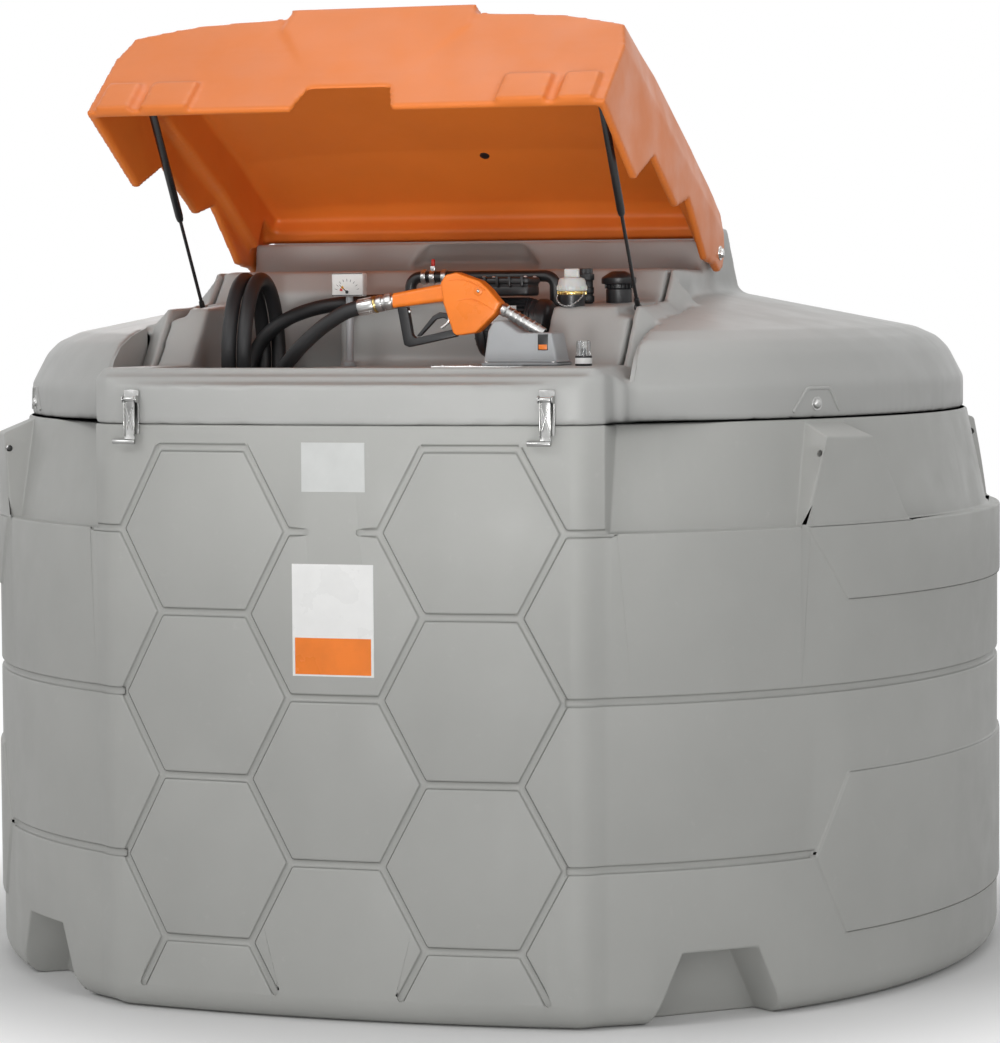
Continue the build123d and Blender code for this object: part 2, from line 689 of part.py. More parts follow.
with BuildPart() as lid:
    for x_share, share in lid_stations:
        with BuildSketch(lid_side_plane.offset(x_share * lid_half_width)):
            with BuildLine():
                Polyline(
                    *in_lid(
                        seat[:3]
                        + [tooth_2, notch_2, *lid_ear, (lid_rear, lid_rear_edge + 8), (lid_rear, lid_roof[-1][1] - 6)]
                        + list(reversed(crowned(lid_roof, share)))
                    ),
                    close=True,
                )
            make_face()
    loft(ruled=True)
    # sides lean in along the roof
    with BuildSketch(Plane(origin=hinge, x_dir=(1, 0, 0), z_dir=-roof_dir)):
        with BuildLine():
            Polyline(
                (lid_half_width, -1200),
                (lid_half_width, lid_lean_base),
                (lid_half_width - lid_lean, lid_lean_base + lid_lean_height),
                (lid_half_width - lid_lean, 1200),
            )
            mirror(about=Plane.YZ)
            Line((lid_half_width, -1200), (-lid_half_width, -1200))
            Line((lid_half_width - lid_lean, 1200), (lid_lean - lid_half_width, 1200))
        make_face()
    extrude(amount=1200, both=True, mode=Mode.INTERSECT)
    add(lid_panel.part)
    # latch blocks
    with BuildSketch(front_plane.offset(-lid_wall / 2)):
        for side in (-1, 1):
            for x_from, x_to in lid_block_halves:
                with Locations((side * (x_from + x_to) / 2, lid_block_height / 2)):
                    Rectangle(x_to - x_from, lid_block_height)
    extrude(amount=lid_block_depth + lid_wall / 2)
    # inside
    for x_share, share in lid_stations:
        with BuildSketch(lid_side_plane.offset(x_share * (lid_inner_half_width - 26))):
            with BuildLine():
                Polyline(
                    *in_lid(
                        [(lid_inner_front, 1200), (lid_inner_front, 1400)]
                        + crowned(lid_ceiling, share)
                        + [(lid_ceiling[-1][0], lid_rear_edge), (0, lid_rear_edge), (0, 1200)]
                    ),
                    close=True,
                )
            make_face()
    loft(ruled=True, mode=Mode.SUBTRACT)
    with BuildSketch(lid_side_plane):
        with BuildLine():
            Polyline(
                *in_lid(
                    [(lid_inner_front, 1200), (lid_inner_front, 1400), (lid_inner_front + 40, 1550)]
                    + [(riser_2[1][0] - 25, platform_height + 10), (-225, platform_height + 16)]
                    + [(-225, lid_rear_edge), (0, lid_rear_edge), (0, 1200)]
                ),
                close=True,
            )
        make_face()
    extrude(amount=lid_inner_half_width, both=True, mode=Mode.SUBTRACT)
    # notch in the middle of the lower edge
    with BuildSketch(front_plane.offset(lid_notch_depth)):
        with BuildLine():
            Polyline(*lid_notch, *[(-x, z) for x, z in reversed(lid_notch)], close=True)
        make_face()
    extrude(amount=-2 * lid_notch_depth, mode=Mode.SUBTRACT)
    # hinge holes
    with BuildSketch(lid_side_plane):
        Circle(hinge_pin / 2 + pin_clearance)
    extrude(amount=lid_half_width, both=True, mode=Mode.SUBTRACT)

lid.part.label = "lid"
export_step(lid.part, "parts/lid.step")

with BuildPart() as hinge_pins:
    for side in (-1, 1):
        with BuildSketch(Plane.YZ.offset(side * rim_half_width)):
            with Locations((hinge_y, hinge_z)):
                Circle(hinge_pin / 2)
        extrude(amount=side * (lid_half_width + 6 - rim_half_width))
        with BuildSketch(Plane.YZ.offset(side * (lid_half_width + 1))):
            with Locations((hinge_y, hinge_z)):
                Circle(hinge_pin)
        extrude(amount=side * 5)

hinge_pins.part.label = "hinge_pins"
export_step(hinge_pins.part, "parts/hinge_pins.step")

# Gas struts: the body hangs on the lid, the rod slides out of it towards the rim
closed_head = Vector(0, *strut_head)
open_head = hinge + (closed_head - hinge).rotate(Axis.X, -open_angle)
foot = Vector(0, *strut_foot)
strut_axis = (foot - open_head).normalized()
strut_open = (foot - open_head).length
strut_closed = (foot - closed_head).length
rod_travel = strut_open - strut_closed
strut_open_angle = degrees(atan2(open_head.Z - foot.Z, foot.Y - open_head.Y))
strut_closed_angle = degrees(atan2(closed_head.Z - foot.Z, foot.Y - closed_head.Y))
strut_pin = 8.0
stud_gap = 2.0

for side, hand in ((-1, "left"), (1, "right")):
    strut_plane = Plane(
        origin=Vector(side * strut_x, open_head.Y, open_head.Z), x_dir=(1, 0, 0), z_dir=strut_axis
    )
    across = Plane(origin=strut_plane.origin, x_dir=strut_axis, z_dir=(1, 0, 0))

    with BuildPart() as strut_body:
        with BuildSketch(strut_plane.offset(strut_eye)):
            Circle(strut_diameter / 2)
        extrude(amount=strut_body_length)
        fillet(strut_body.edges().filter_by(GeomType.CIRCLE), 1.5)
        with BuildSketch(strut_plane):
            Rectangle(strut_pin, strut_pin)
        extrude(amount=strut_eye + 2)
        with BuildSketch(across):
            Circle(strut_eye / 2)
        extrude(amount=strut_pin / 2, both=True)
        with BuildSketch(across):
            Circle(strut_pin / 2 + pin_clearance)
        extrude(amount=strut_pin, both=True, mode=Mode.SUBTRACT)
        with BuildSketch(strut_plane.offset(strut_eye + 20)):
            Circle(rod_diameter / 2 + pin_clearance)
        extrude(amount=strut_body_length, mode=Mode.SUBTRACT)
    strut_body.part.label = f"strut_body_{hand}"
    export_step(strut_body.part, f"parts/strut_body_{hand}.step")

    with BuildPart() as strut_rod:
        with BuildSketch(strut_plane.offset(strut_eye + strut_body_length - 25)):
            Circle(rod_diameter / 2)
        extrude(amount=strut_open - strut_eye - strut_body_length + 25)
        with BuildSketch(strut_plane.offset(strut_open - strut_eye)):
            Circle(strut_eye / 2)
        extrude(amount=1.5 * strut_eye)
        fillet(strut_rod.edges().sort_by(Axis(strut_plane.origin, strut_axis))[-1], 2)
    strut_rod.part.label = f"strut_rod_{hand}"
    export_step(strut_rod.part, f"parts/strut_rod_{hand}.step")

    head_plane = Plane(origin=strut_plane.origin, x_dir=(0, 1, 0), z_dir=(side, 0, 0))
    with BuildPart() as strut_head_pin:
        with BuildSketch(head_plane.offset(-strut_pin)):
            Circle(strut_pin / 2)
        extrude(amount=strut_pin + lid_inner_half_width - strut_x)
        with BuildSketch(head_plane.offset(head_plate)):
            Circle(strut_pin)
        extrude(amount=lid_inner_half_width - strut_x - head_plate)
    strut_head_pin.part.label = f"strut_head_pin_{hand}"
    export_step(strut_head_pin.part, f"parts/strut_head_pin_{hand}.step")

    with BuildPart() as strut_foot_stud:
        stud_end = (side * (strut_x + strut_eye / 2 + stud_gap), foot.Y, foot.Z)
        with BuildSketch(Plane(origin=stud_end, x_dir=(0, 1, 0), z_dir=(side, 0, 0))):
            Circle(strut_pin / 2)
        extrude(amount=rim_inner_half_width - strut_x - strut_eye / 2 - stud_gap)
    strut_foot_stud.part.label = f"strut_foot_stud_{hand}"
    export_step(strut_foot_stud.part, f"parts/strut_foot_stud_{hand}.step")

print("hinge, m", hinge_y / 1000, hinge_z / 1000, "open angle, rad", round(radians(open_angle), 5))
print("strut head, m", round(open_head.Y / 1000, 5), round(open_head.Z / 1000, 5), "axis", strut_axis)
print("strut turn per lid turn", round((strut_open_angle - strut_closed_angle - open_angle) / open_angle, 5))
travel_share = rod_travel / 1000 / radians(open_angle)
print("rod travel, m", round(rod_travel / 1000, 5), "per radian", round(travel_share, 5))

# Toggle latches: a plate on the rim's front face and a lever that swings up
face_y = -(panel_apex - panel_radius + (panel_radius**2 - latch_x**2) ** 0.5)
latch_pin_z = latch_top - latch_pin_drop
for side, hand in ((-1, "left"), (1, "right")):
    with BuildPart() as latch_plate:
        box = (latch_plate_width, latch_thickness, latch_plate_height)
        with Locations((side * latch_x, face_y - 6, latch_top - latch_plate_height / 2)):
            Box(*box, align=(Align.CENTER, Align.MAX, Align.CENTER))
        # ears that hold the lever's pin
        for ear in (-1, 1):
            with BuildSketch(Plane.YZ.offset(side * latch_x + ear * (latch_plate_width / 2 - 1.5))):
                with Locations((face_y - 6 - 12, latch_pin_z)):
                    Circle(8)
                with Locations((face_y - 6 - 6, latch_pin_z)):
                    Rectangle(12, 16)
            extrude(amount=1.5, both=True)
        with BuildSketch(Plane.YZ.offset(side * latch_x - latch_plate_width / 2)):
            with Locations((face_y - 6 - 12, latch_pin_z)):
                Circle(3)
        extrude(amount=latch_plate_width)
        # flat pad between the plate and the bowed face
        with BuildSketch(Plane.XZ.offset(-(face_y - 6))):
            with Locations((side * latch_x, latch_top - latch_plate_height / 2)):
                Rectangle(latch_plate_width - 6, latch_plate_height - 40)
        extrude(amount=-6 - 4.0)
        # its back follows the bowed face
        add(top_cover.part, mode=Mode.SUBTRACT)
        add(outer_tank.part, mode=Mode.SUBTRACT)
    latch_plate.part.label = f"latch_plate_{hand}"
    export_step(latch_plate.part, f"parts/latch_plate_{hand}.step")

    with BuildPart() as latch_lever:
        lever_y = face_y - 6 - 12
        with BuildSketch(Plane.YZ.offset(side * latch_x)):
            with Locations((lever_y, latch_pin_z)):
                Circle(6)
            with Locations((lever_y - 1.5, latch_pin_z - latch_lever_length / 2)):
                Rectangle(3, latch_lever_length)
        extrude(amount=latch_plate_width / 2 - 5, both=True)
        with BuildSketch(Plane.YZ.offset(side * latch_x)):
            with Locations((lever_y, latch_pin_z)):
                Circle(3 + pin_clearance)
        extrude(amount=latch_plate_width, both=True, mode=Mode.SUBTRACT)
        # handle bar across the lower end, longer towards the left
        with BuildSketch(Plane.YZ.offset(side * latch_x - 40)):
            with Locations((lever_y - 3, latch_pin_z - latch_lever_length)):
                Circle(5.5)
        extrude(amount=40 + latch_plate_width / 2 - 5)
    latch_lever.part.label = f"latch_lever_{hand}"
    export_step(latch_lever.part, f"parts/latch_lever_{hand}.step")
print("latch pin, m", latch_x / 1000, round(lever_y / 1000, 5), latch_pin_z / 1000)

# Pump: motor lying across the bay, its pump head and terminal box, on a tray
tray_x = (150.0, 452.0)
tray_y = (-985.0, -590.0)
tray_thickness = riser_1[0][1] - bay_floor
motor_radius = 68.0
motor_y = -680.0
motor_x = (165.0, 288.0)
tray_top = bay_floor + tray_thickness
motor_z = tray_top + motor_radius + 14

with BuildPart() as pump_tray:
    with BuildSketch(Plane.XY.offset(bay_floor)):
        with Locations(((tray_x[0] + right_pad_x - 2) / 2, (tray_y[0] + tray_y[1]) / 2)):
            Rectangle(right_pad_x - 2 - tray_x[0], tray_y[1] - tray_y[0])
    extrude(amount=tray_thickness)
pump_tray.part.label = "pump_tray"
export_step(pump_tray.part, "parts/pump_tray.step")

with BuildPart() as pump_motor:
    with BuildSketch(Plane.YZ.offset(motor_x[0])):
        with Locations((motor_y, motor_z)):
            Circle(motor_radius - 8)
    extrude(amount=motor_x[1] - motor_x[0])
    # cooling fins
    with BuildSketch(Plane.YZ.offset(motor_x[0] + 30)):
        with Locations((motor_y, motor_z)):
            Circle(motor_radius - 9)
            with PolarLocations(motor_radius - 6, 28):
                Rectangle(12, 4)
    extrude(amount=motor_x[1] - motor_x[0] - 34)
    # fan cowl
    with BuildSketch(Plane.YZ.offset(motor_x[0])):
        with Locations((motor_y, motor_z)):
            Circle(motor_radius)
    extrude(amount=28)
    # feet
    with BuildSketch(Plane.XY.offset(tray_top)):
        with Locations((motor_x[1] - 45, motor_y)):
            Rectangle(60, 110)
    extrude(amount=40)
pump_motor.part.label = "pump_motor"
export_step(pump_motor.part, "parts/pump_motor.step")

with BuildPart() as terminal_box:
    box_base = motor_z + motor_radius + 0.3
    with BuildSketch(Plane.XY.offset(box_base)):
        with Locations(((motor_x[0] + motor_x[1]) / 2 + 8, motor_y)):
            RectangleRounded(118, 92, 10)
    extrude(amount=42)
    fillet(terminal_box.faces().sort_by(Axis.Z)[-1].edges(), 5)
terminal_box.part.label = "terminal_box"
export_step(terminal_box.part, "parts/terminal_box.step")

with BuildPart() as pump_head:
    with BuildSketch(Plane.YZ.offset(motor_x[1])):
        with Locations((motor_y, motor_z)):
            Circle(motor_radius - 6)
    extrude(amount=52)
    fillet(pump_head.faces().sort_by(Axis.X)[-1].edges(), 12)
    with BuildSketch(Plane.XY.offset(tray_top)):
        with Locations((motor_x[1] + 24, motor_y)):
            Rectangle(36, 80)
    extrude(amount=40)
    # outlet port towards the back
    with BuildSketch(Plane.XZ.offset(-motor_y)):
        with Locations((motor_x[1] + 26, motor_z + 30)):
            Circle(19)
    extrude(amount=-105)
pump_head.part.label = "pump_head"
export_step(pump_head.part, "parts/pump_head.step")

# Fuelling nozzle, resting with its spout in the holder
nozzle_y = -924.0
nozzle_body_width = 46.0
nozzle_grip_width = 32.0
spout_root = (290.0, 1530.0)
spout_tip = (388.0, 1474.0)
spout_radius = 12.0
spout_rib = 1.5
spout_length = hypot(spout_tip[0] - spout_root[0], spout_tip[1] - spout_root[1])
spout_angle = degrees(atan2(spout_tip[1] - spout_root[1], spout_tip[0] - spout_root[0]))
nozzle_plane = Plane(origin=(0, nozzle_y, 0), x_dir=(1, 0, 0), z_dir=(0, -1, 0))
grip_end = (48.0, 1547.0)
grip_slope = 10.5
spout_plane = Plane(
    origin=(spout_root[0], nozzle_y, spout_root[1]),
    x_dir=(0, 1, 0),
    z_dir=(cos(radians(spout_angle)), 0, sin(radians(spout_angle))),
)
grip_plane = Plane(
    origin=(grip_end[0], nozzle_y, grip_end[1]),
    x_dir=(0, 1, 0),
    z_dir=(-cos(radians(grip_slope)), 0, -sin(radians(grip_slope))),
)

# Nozzle holder: a moulded shoe that takes the spout
holder_x = (262.0, 436.0)
holder_y = (-980.0, -868.0)
holder_top = 1476.0
with BuildPart() as nozzle_holder:
    with BuildSketch(Plane.XY.offset(tray_top)):
        with Locations(((holder_x[0] + holder_x[1]) / 2, (holder_y[0] + holder_y[1]) / 2)):
            Rectangle(holder_x[1] - holder_x[0], holder_y[1] - holder_y[0])
    extrude(amount=8)
    with BuildSketch(Plane.XZ.offset(-holder_y[0] - 8)):
        with BuildLine():
            Polyline(
                (holder_x[0] + 4, tray_top + 8),
                (holder_x[0] + 14, holder_top + 4),
                (holder_x[0] + 26, holder_top + 26),
                (holder_x[0] + 46, holder_top + 26),
                (holder_x[0] + 84, holder_top),
                (holder_x[1] - 16, holder_top),
                (holder_x[1] - 4, tray_top + 8),
                close=True,
            )
        make_face()
    extrude(amount=holder_y[0] - holder_y[1] + 16)
    # socket for the spout, as deep as the spout reaches
    with BuildSketch(spout_plane):
        Circle(spout_radius + spout_rib + pin_clearance)
    extrude(amount=spout_length, mode=Mode.SUBTRACT)
nozzle_holder.part.label = "nozzle_holder"
export_step(nozzle_holder.part, "parts/nozzle_holder.step")

with BuildPart() as nozzle_body:
    with BuildSketch(nozzle_plane):
        with BuildLine():
            Polyline(
                (grip_end[0], 1563),
                (168, 1584),
                (168, 1545),
                (grip_end[0], 1531),
                close=True,
            )
        make_face()
    extrude(amount=nozzle_grip_width / 2, both=True)
    fillet(nozzle_body.edges().filter_by(lambda edge: edge.length > 100), 10)
    with BuildSketch(nozzle_plane):
        with BuildLine():
            Polyline(
                (160, 1584),
                (172, 1602),
                (196, 1607),
                (250, 1588),
                (271, 1569),
                (287, 1549),
                (296, 1540),
                (283, 1516),
                (240, 1476),
                (196, 1470),
                (188, 1476),
                (166, 1541),
                close=True,
            )
        make_face()
    extrude(amount=nozzle_body_width / 2, both=True)
nozzle_body.part.label = "nozzle_body"
export_step(nozzle_body.part, "parts/nozzle_body.step")

with BuildPart() as nozzle_spout:
    with BuildSketch(spout_plane):
        Circle(spout_radius)
    extrude(amount=spout_length)
    for ring in range(4):
        with BuildSketch(spout_plane.offset(18 + 22 * ring)):
            Circle(spout_radius + spout_rib)
        extrude(amount=6)
    with BuildSketch(spout_plane.offset(30)):
        Circle(spout_radius - 2)
    extrude(amount=200, mode=Mode.SUBTRACT)
    # the root ends on the face of the body
    add(nozzle_body.part, mode=Mode.SUBTRACT)
nozzle_spout.part.label = "nozzle_spout"
export_step(nozzle_spout.part, "parts/nozzle_spout.step")

with BuildPart() as nozzle_guard:
    with BuildSketch(nozzle_plane):
        with BuildLine():
            Polyline(
                (56, 1532),
                (71, 1450),
                (83, 1445),
                (193, 1468),
                (187, 1484),
                (98, 1465),
                (90, 1472),
                (80, 1533),
                close=True,
            )
        make_face()
    extrude(amount=10, both=True)
    add(nozzle_body.part, mode=Mode.SUBTRACT)
nozzle_guard.part.label = "nozzle_guard"
export_step(nozzle_guard.part, "parts/nozzle_guard.step")

with BuildPart() as nozzle_trigger:
    with BuildSketch(nozzle_plane):
        with BuildLine():
            Polyline(
                (99, 1468),
                (137, 1513),
                (152, 1521),
                (174, 1518),
                (180, 1500),
                (160, 1509),
                (144, 1505),
                (108, 1469),
                close=True,
            )
        make_face()
    extrude(amount=7, both=True)
    add(nozzle_body.part, mode=Mode.SUBTRACT)
    add(nozzle_guard.part, mode=Mode.SUBTRACT)
nozzle_trigger.part.label = "nozzle_trigger"
export_step(nozzle_trigger.part, "parts/nozzle_trigger.step")

swivel_length = 84.0
with BuildPart() as hose_swivel:
    with BuildSketch(grip_plane.offset(-6)):
        Circle(14)
    extrude(amount=swivel_length + 6)
    with BuildSketch(grip_plane.offset(4)):
        RegularPolygon(19, 6)
    extrude(amount=18)
    with BuildSketch(grip_plane.offset(26)):
        Circle(18)
    extrude(amount=14)
    with BuildSketch(grip_plane.offset(46)):
        Circle(18.5)
    extrude(amount=swivel_length - 46)
    add(nozzle_body.part, mode=Mode.SUBTRACT)
hose_swivel.part.label = "hose_swivel"
export_step(hose_swivel.part, "parts/hose_swivel.step")

# Hose: two hanging loops in the well, a run to the pump's pipe and a run to the nozzle
coil_centre = Vector(-363, -720, 1443)
coil_turn = 9.8
coil_axis = Vector(cos(radians(coil_turn)), sin(radians(coil_turn)), 0)
coil_plane = Plane(origin=coil_centre, x_dir=(0, 0, 1), z_dir=coil_axis)
hose_loops = 2
with BuildPart() as hose_coil:
    with BuildSketch(coil_plane):
        Circle(hose_loop_radius + hose_diameter / 2)
        Circle(hose_loop_radius - hose_diameter / 2, mode=Mode.SUBTRACT)
    extrude(amount=hose_loops * hose_diameter / 2, both=True)
hose_coil.part.label = "hose_coil"
export_step(hose_coil.part, "parts/hose_coil.step")


def cord_radii(points):
    """Largest arc for each corner: 0.45 of its shorter run over the tangent of half the turn."""
    radii = []
    for a, b, c in zip(points, points[1:], points[2:]):
        first = Vector(*b) - Vector(*a)
        second = Vector(*c) - Vector(*b)
        turn = first.get_angle(second)
        radii.append(0.45 * min(first.length, second.length) / tan(radians(turn / 2)))
    return radii


swivel_end = grip_plane.origin + grip_plane.z_dir * swivel_length
pipe_start = (-62.0, -588.0, 1545.0)
hose_routes = {
    "hose_to_nozzle": [
        tuple(swivel_end),
        tuple(swivel_end + grip_plane.z_dir * 60),
        (-151, -914, 1497),
        (-203, -898, 1462),
        (-252, -878, 1429),
        (-297, -857, 1393),
    ],
    "hose_to_pump": [
        pipe_start,
        (-118, -588, 1545),
        (-178, -586, 1547),
        (-238, -590, 1546),
        (-294, -600, 1543),
        (-347, -609, 1540),
    ],
}
for name, points in hose_routes.items():
    radii = cord_radii(points)
    with BuildPart() as hose_run:
        with BuildLine() as route:
            FilletPolyline(*points, radius=radii)
        with BuildSketch(Plane(origin=points[0], z_dir=route.line % 0)):
            Circle(hose_diameter / 2)
        sweep()
        # the end is cut back to the coil
        add(hose_coil.part, mode=Mode.SUBTRACT)
    hose_run.part.label = name
    export_step(hose_run.part, f"parts/{name}.step")
    runs = [round((Vector(*b) - Vector(*a)).length, 1) for a, b in zip(points, points[1:])]
    length = sum(edge.length for edge in route.edges())
    section = hose_run.part.volume / (3.14159265 * hose_diameter**2 / 4)
    print(name, "length", round(length, 1), "volume over section", round(section, 1))
    print("  runs", runs, "radii in diameters", [round(r / hose_diameter, 1) for r in radii])

# Pipe over the back of the pump, with an elbow up from the hose
pipe_points = [
    pipe_start,
    (-30, -588, 1545),
    (-30, -588, 1600),
    (motor_x[1] + 26, -588, 1600),
    (motor_x[1] + 26, -588, motor_z + 30),
]
with BuildPart() as pump_pipe:
    with BuildLine() as pipe_route:
        FilletPolyline(*pipe_points, radius=24)
    with BuildSketch(Plane(origin=pipe_points[0], z_dir=pipe_route.line % 0)):
        Circle(13)
    sweep()
    add(pump_head.part, mode=Mode.SUBTRACT)
pump_pipe.part.label = "pump_pipe"
export_step(pump_pipe.part, "parts/pump_pipe.step")

with BuildPart() as hose_clamp:
    with BuildSketch(Plane.YZ.offset(18)):
        with Locations((-588, 1600)):
            Circle(15.5)
            with Locations((0, 18)):
                Rectangle(9, 14)
            Circle(13, mode=Mode.SUBTRACT)
    extrude(amount=12)
hose_clamp.part.label = "hose_clamp"
export_step(hose_clamp.part, "parts/hose_clamp.step")

# Level gauge: square dial on a stem
gauge_centre = (-160.0, -640.0, 1584.0)
with BuildPart() as level_gauge:
    with BuildSketch(Plane(origin=gauge_centre, x_dir=(1, 0, 0), z_dir=(0, -1, 0))):
        RectangleRounded(76, 54, 5)
    extrude(amount=16, both=True)
    with BuildSketch(Plane.XY.offset(bay_floor)):
        with Locations((gauge_centre[0], gauge_centre[1])):
            Circle(16)
    extrude(amount=gauge_centre[2] - 27 - bay_floor)
level_gauge.part.label = "level_gauge"
export_step(level_gauge.part, "parts/level_gauge.step")

# Filler with its cap, vent tee, vent cap and sight glass on the right pad
pad_top = 1531.0
filler_at = (396.0, -735.0)
with BuildPart() as filler_cup:
    with BuildSketch(Plane.XY.offset(pad_top)):
        with Locations(filler_at):
            Circle(30)
    extrude(amount=26)
    with BuildSketch(Plane.XY.offset(pad_top + 8)):
        with Locations(filler_at):
            Circle(26)
    extrude(amount=24, mode=Mode.SUBTRACT)
    add(inner_tank_top.part, mode=Mode.SUBTRACT)
filler_cup.part.label = "filler_cup"
export_step(filler_cup.part, "parts/filler_cup.step")

with BuildPart() as filler_ring:
    with BuildSketch(Plane.XY.offset(pad_top + 26)):
        with Locations(filler_at):
            Circle(30)
            Circle(20, mode=Mode.SUBTRACT)
    extrude(amount=8)
filler_ring.part.label = "filler_ring"
export_step(filler_ring.part, "parts/filler_ring.step")

with BuildPart() as filler_cap:
    with BuildSketch(Plane.XY.offset(pad_top + 34)):
        with Locations(filler_at):
            Circle(33)
    extrude(amount=30, taper=14)
    with BuildSketch(Plane.XY.offset(pad_top + 64)):
        with Locations(filler_at):
            RectangleRounded(34, 10, 4)
    extrude(amount=20)
filler_cap.part.label = "filler_cap"
export_step(filler_cap.part, "parts/filler_cap.step")

tee_at = (398.0, -628.0)
tee_base = 1537.5
pad_slope_allowance = 6.0
with BuildPart() as vent_tee:
    with BuildSketch(Plane.XY.offset(tee_base - pad_slope_allowance)):
        with Locations(tee_at):
            Circle(15)
    extrude(amount=78 + pad_slope_allowance)
    for height, radius in ((3, 19), (22, 18), (52, 19)):
        with BuildSketch(Plane.XY.offset(tee_base + height)):
            with Locations(tee_at):
                RegularPolygon(radius, 8)
        extrude(amount=14)
    add(inner_tank_top.part, mode=Mode.SUBTRACT)
vent_tee.part.label = "vent_tee"
export_step(vent_tee.part, "parts/vent_tee.step")

vent_at = (463.0, -590.0)
with BuildPart() as vent_cap:
    with BuildSketch(Plane.XY.offset(tee_base - pad_slope_allowance)):
        with Locations(vent_at):
            Circle(29)
    extrude(amount=42 + pad_slope_allowance)
    with BuildSketch(Plane.XY.offset(tee_base + 42)):
        with Locations(vent_at):
            Circle(39)
    extrude(amount=16)
    with BuildSketch(Plane.XY.offset(tee_base + 58)):
        with Locations(vent_at):
            Circle(39)
    extrude(amount=14, taper=60)
    add(inner_tank_top.part, mode=Mode.SUBTRACT)
vent_cap.part.label = "vent_cap"
export_step(vent_cap.part, "parts/vent_cap.step")

glass_at = (496.0, -990.0)
with BuildPart() as sight_glass:
    with BuildSketch(Plane.XY.offset(riser_1[0][1])):
        with Locations(glass_at):
            Circle(18)
    extrude(amount=22)
    with BuildSketch(Plane.XY.offset(riser_1[0][1] + 22)):
        with Locations(glass_at):
            Circle(15)
            Circle(8, mode=Mode.SUBTRACT)
    extrude(amount=32)
sight_glass.part.label = "sight_glass"
export_step(sight_glass.part, "parts/sight_glass.step")
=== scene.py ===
"""Bunded diesel tank: finishes the moulded shells, the open lid and the equipment in the pump bay."""

from math import cos, pi, radians, sin

import bmesh
import bpy
from mathutils import Matrix, Vector
from mathutils.bvhtree import BVHTree


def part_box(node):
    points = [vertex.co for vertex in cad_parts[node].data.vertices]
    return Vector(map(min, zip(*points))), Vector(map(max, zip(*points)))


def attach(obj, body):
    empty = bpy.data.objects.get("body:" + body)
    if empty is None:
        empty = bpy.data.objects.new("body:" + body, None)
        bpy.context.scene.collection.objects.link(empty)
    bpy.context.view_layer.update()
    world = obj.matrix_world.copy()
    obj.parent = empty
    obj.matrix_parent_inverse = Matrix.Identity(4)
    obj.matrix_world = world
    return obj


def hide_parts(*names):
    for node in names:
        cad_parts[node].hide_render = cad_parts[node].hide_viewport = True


bl_info = {
    "name": "Bunded Diesel Tank",
    "version": (1, 0, 0),
    "blender": (4, 5, 0),
    "location": "View3D > Sidebar > Tank",
    "description": "Builds the finished shells, lid, hose, nozzle and pump bay of a bunded diesel tank",
    "category": "Object",
}

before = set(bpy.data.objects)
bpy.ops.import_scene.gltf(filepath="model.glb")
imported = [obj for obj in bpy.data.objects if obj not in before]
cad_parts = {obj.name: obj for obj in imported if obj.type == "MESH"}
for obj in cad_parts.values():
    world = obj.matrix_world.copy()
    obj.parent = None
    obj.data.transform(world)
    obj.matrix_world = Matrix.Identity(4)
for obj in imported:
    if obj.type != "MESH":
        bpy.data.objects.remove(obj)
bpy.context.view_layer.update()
made = {}


def colour_property(name, description, default):
    return bpy.props.FloatVectorProperty(
        name=name, description=description, default=default, subtype="COLOR", size=3, min=0, max=1
    )


def length_property(name, description, default):
    return bpy.props.FloatProperty(name=name, description=description, default=default, unit="LENGTH", min=0)


class TankColours(bpy.types.PropertyGroup):
    """Colours of the tank's plastics, rubber and metals"""

    tank: colour_property("Tank", "Grey of the outer and inner tank", (0.39, 0.392, 0.375))
    cover: colour_property("Cover", "Grey of the domed cover", (0.41, 0.412, 0.4))
    lid: colour_property("Lid", "Orange of the lid", (0.73, 0.185, 0.025))
    nozzle: colour_property("Nozzle", "Orange of the nozzle's cover", (0.86, 0.21, 0.02))
    black: colour_property("Black parts", "Black plastic and rubber", (0.012, 0.012, 0.013))
    holder: colour_property("Holder", "Grey of the nozzle holder", (0.36, 0.37, 0.38))
    steel: colour_property("Steel", "Plated and stainless steel", (0.56, 0.56, 0.55))
    brass: colour_property("Brass", "Brass rings and unions", (0.6, 0.44, 0.17))


class TankSizes(bpy.types.PropertyGroup):
    """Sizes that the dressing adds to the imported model"""

    shell_edge: length_property("Shell edges", "Rounding of the tank shells' edges", 0.005)
    cover_grain: length_property("Cover softness", "Grain at which the cover's edges are softened", 0.009)
    lid_grain: length_property("Lid softness", "Grain at which the lid's edges are softened", 0.0065)
    hose: length_property("Hose", "Outer diameter of the fuelling hose", 0.033)
    loop: length_property("Hose loop", "Radius of the hose's hanging loops", 0.1545)
    screw: length_property("Screw head", "Diameter of the cover screws' heads", 0.022)
    washer: length_property("Hinge washer", "Diameter of the hinge bolts' washers", 0.034)
    fins: bpy.props.IntProperty(
        name="Motor fins", description="Cooling fins round the motor", default=32, min=8
    )
    ribs: bpy.props.IntProperty(name="Spout ribs", description="Ribs along the spout", default=6, min=2)
    ticks: bpy.props.IntProperty(name="Dial ticks", description="Ticks on the level gauge", default=9, min=3)


def colours():
    return bpy.context.scene.tank_colours


def sizes():
    return bpy.context.scene.tank_sizes


# Node trees and materials

def feed(tree, node, feeds):
    """Sets each input to a value, or wires it to the socket given."""
    for key, value in feeds.items():
        if isinstance(value, bpy.types.NodeSocket):
            tree.links.new(value, node.inputs[key])
        else:
            node.inputs[key].default_value = value


def add(tree, kind, feeds=None, **settings):
    """A new node with its settings and inputs."""
    node = tree.nodes.new(kind)
    for key, value in settings.items():
        setattr(node, key, value)
    feed(tree, node, feeds or {})
    return node


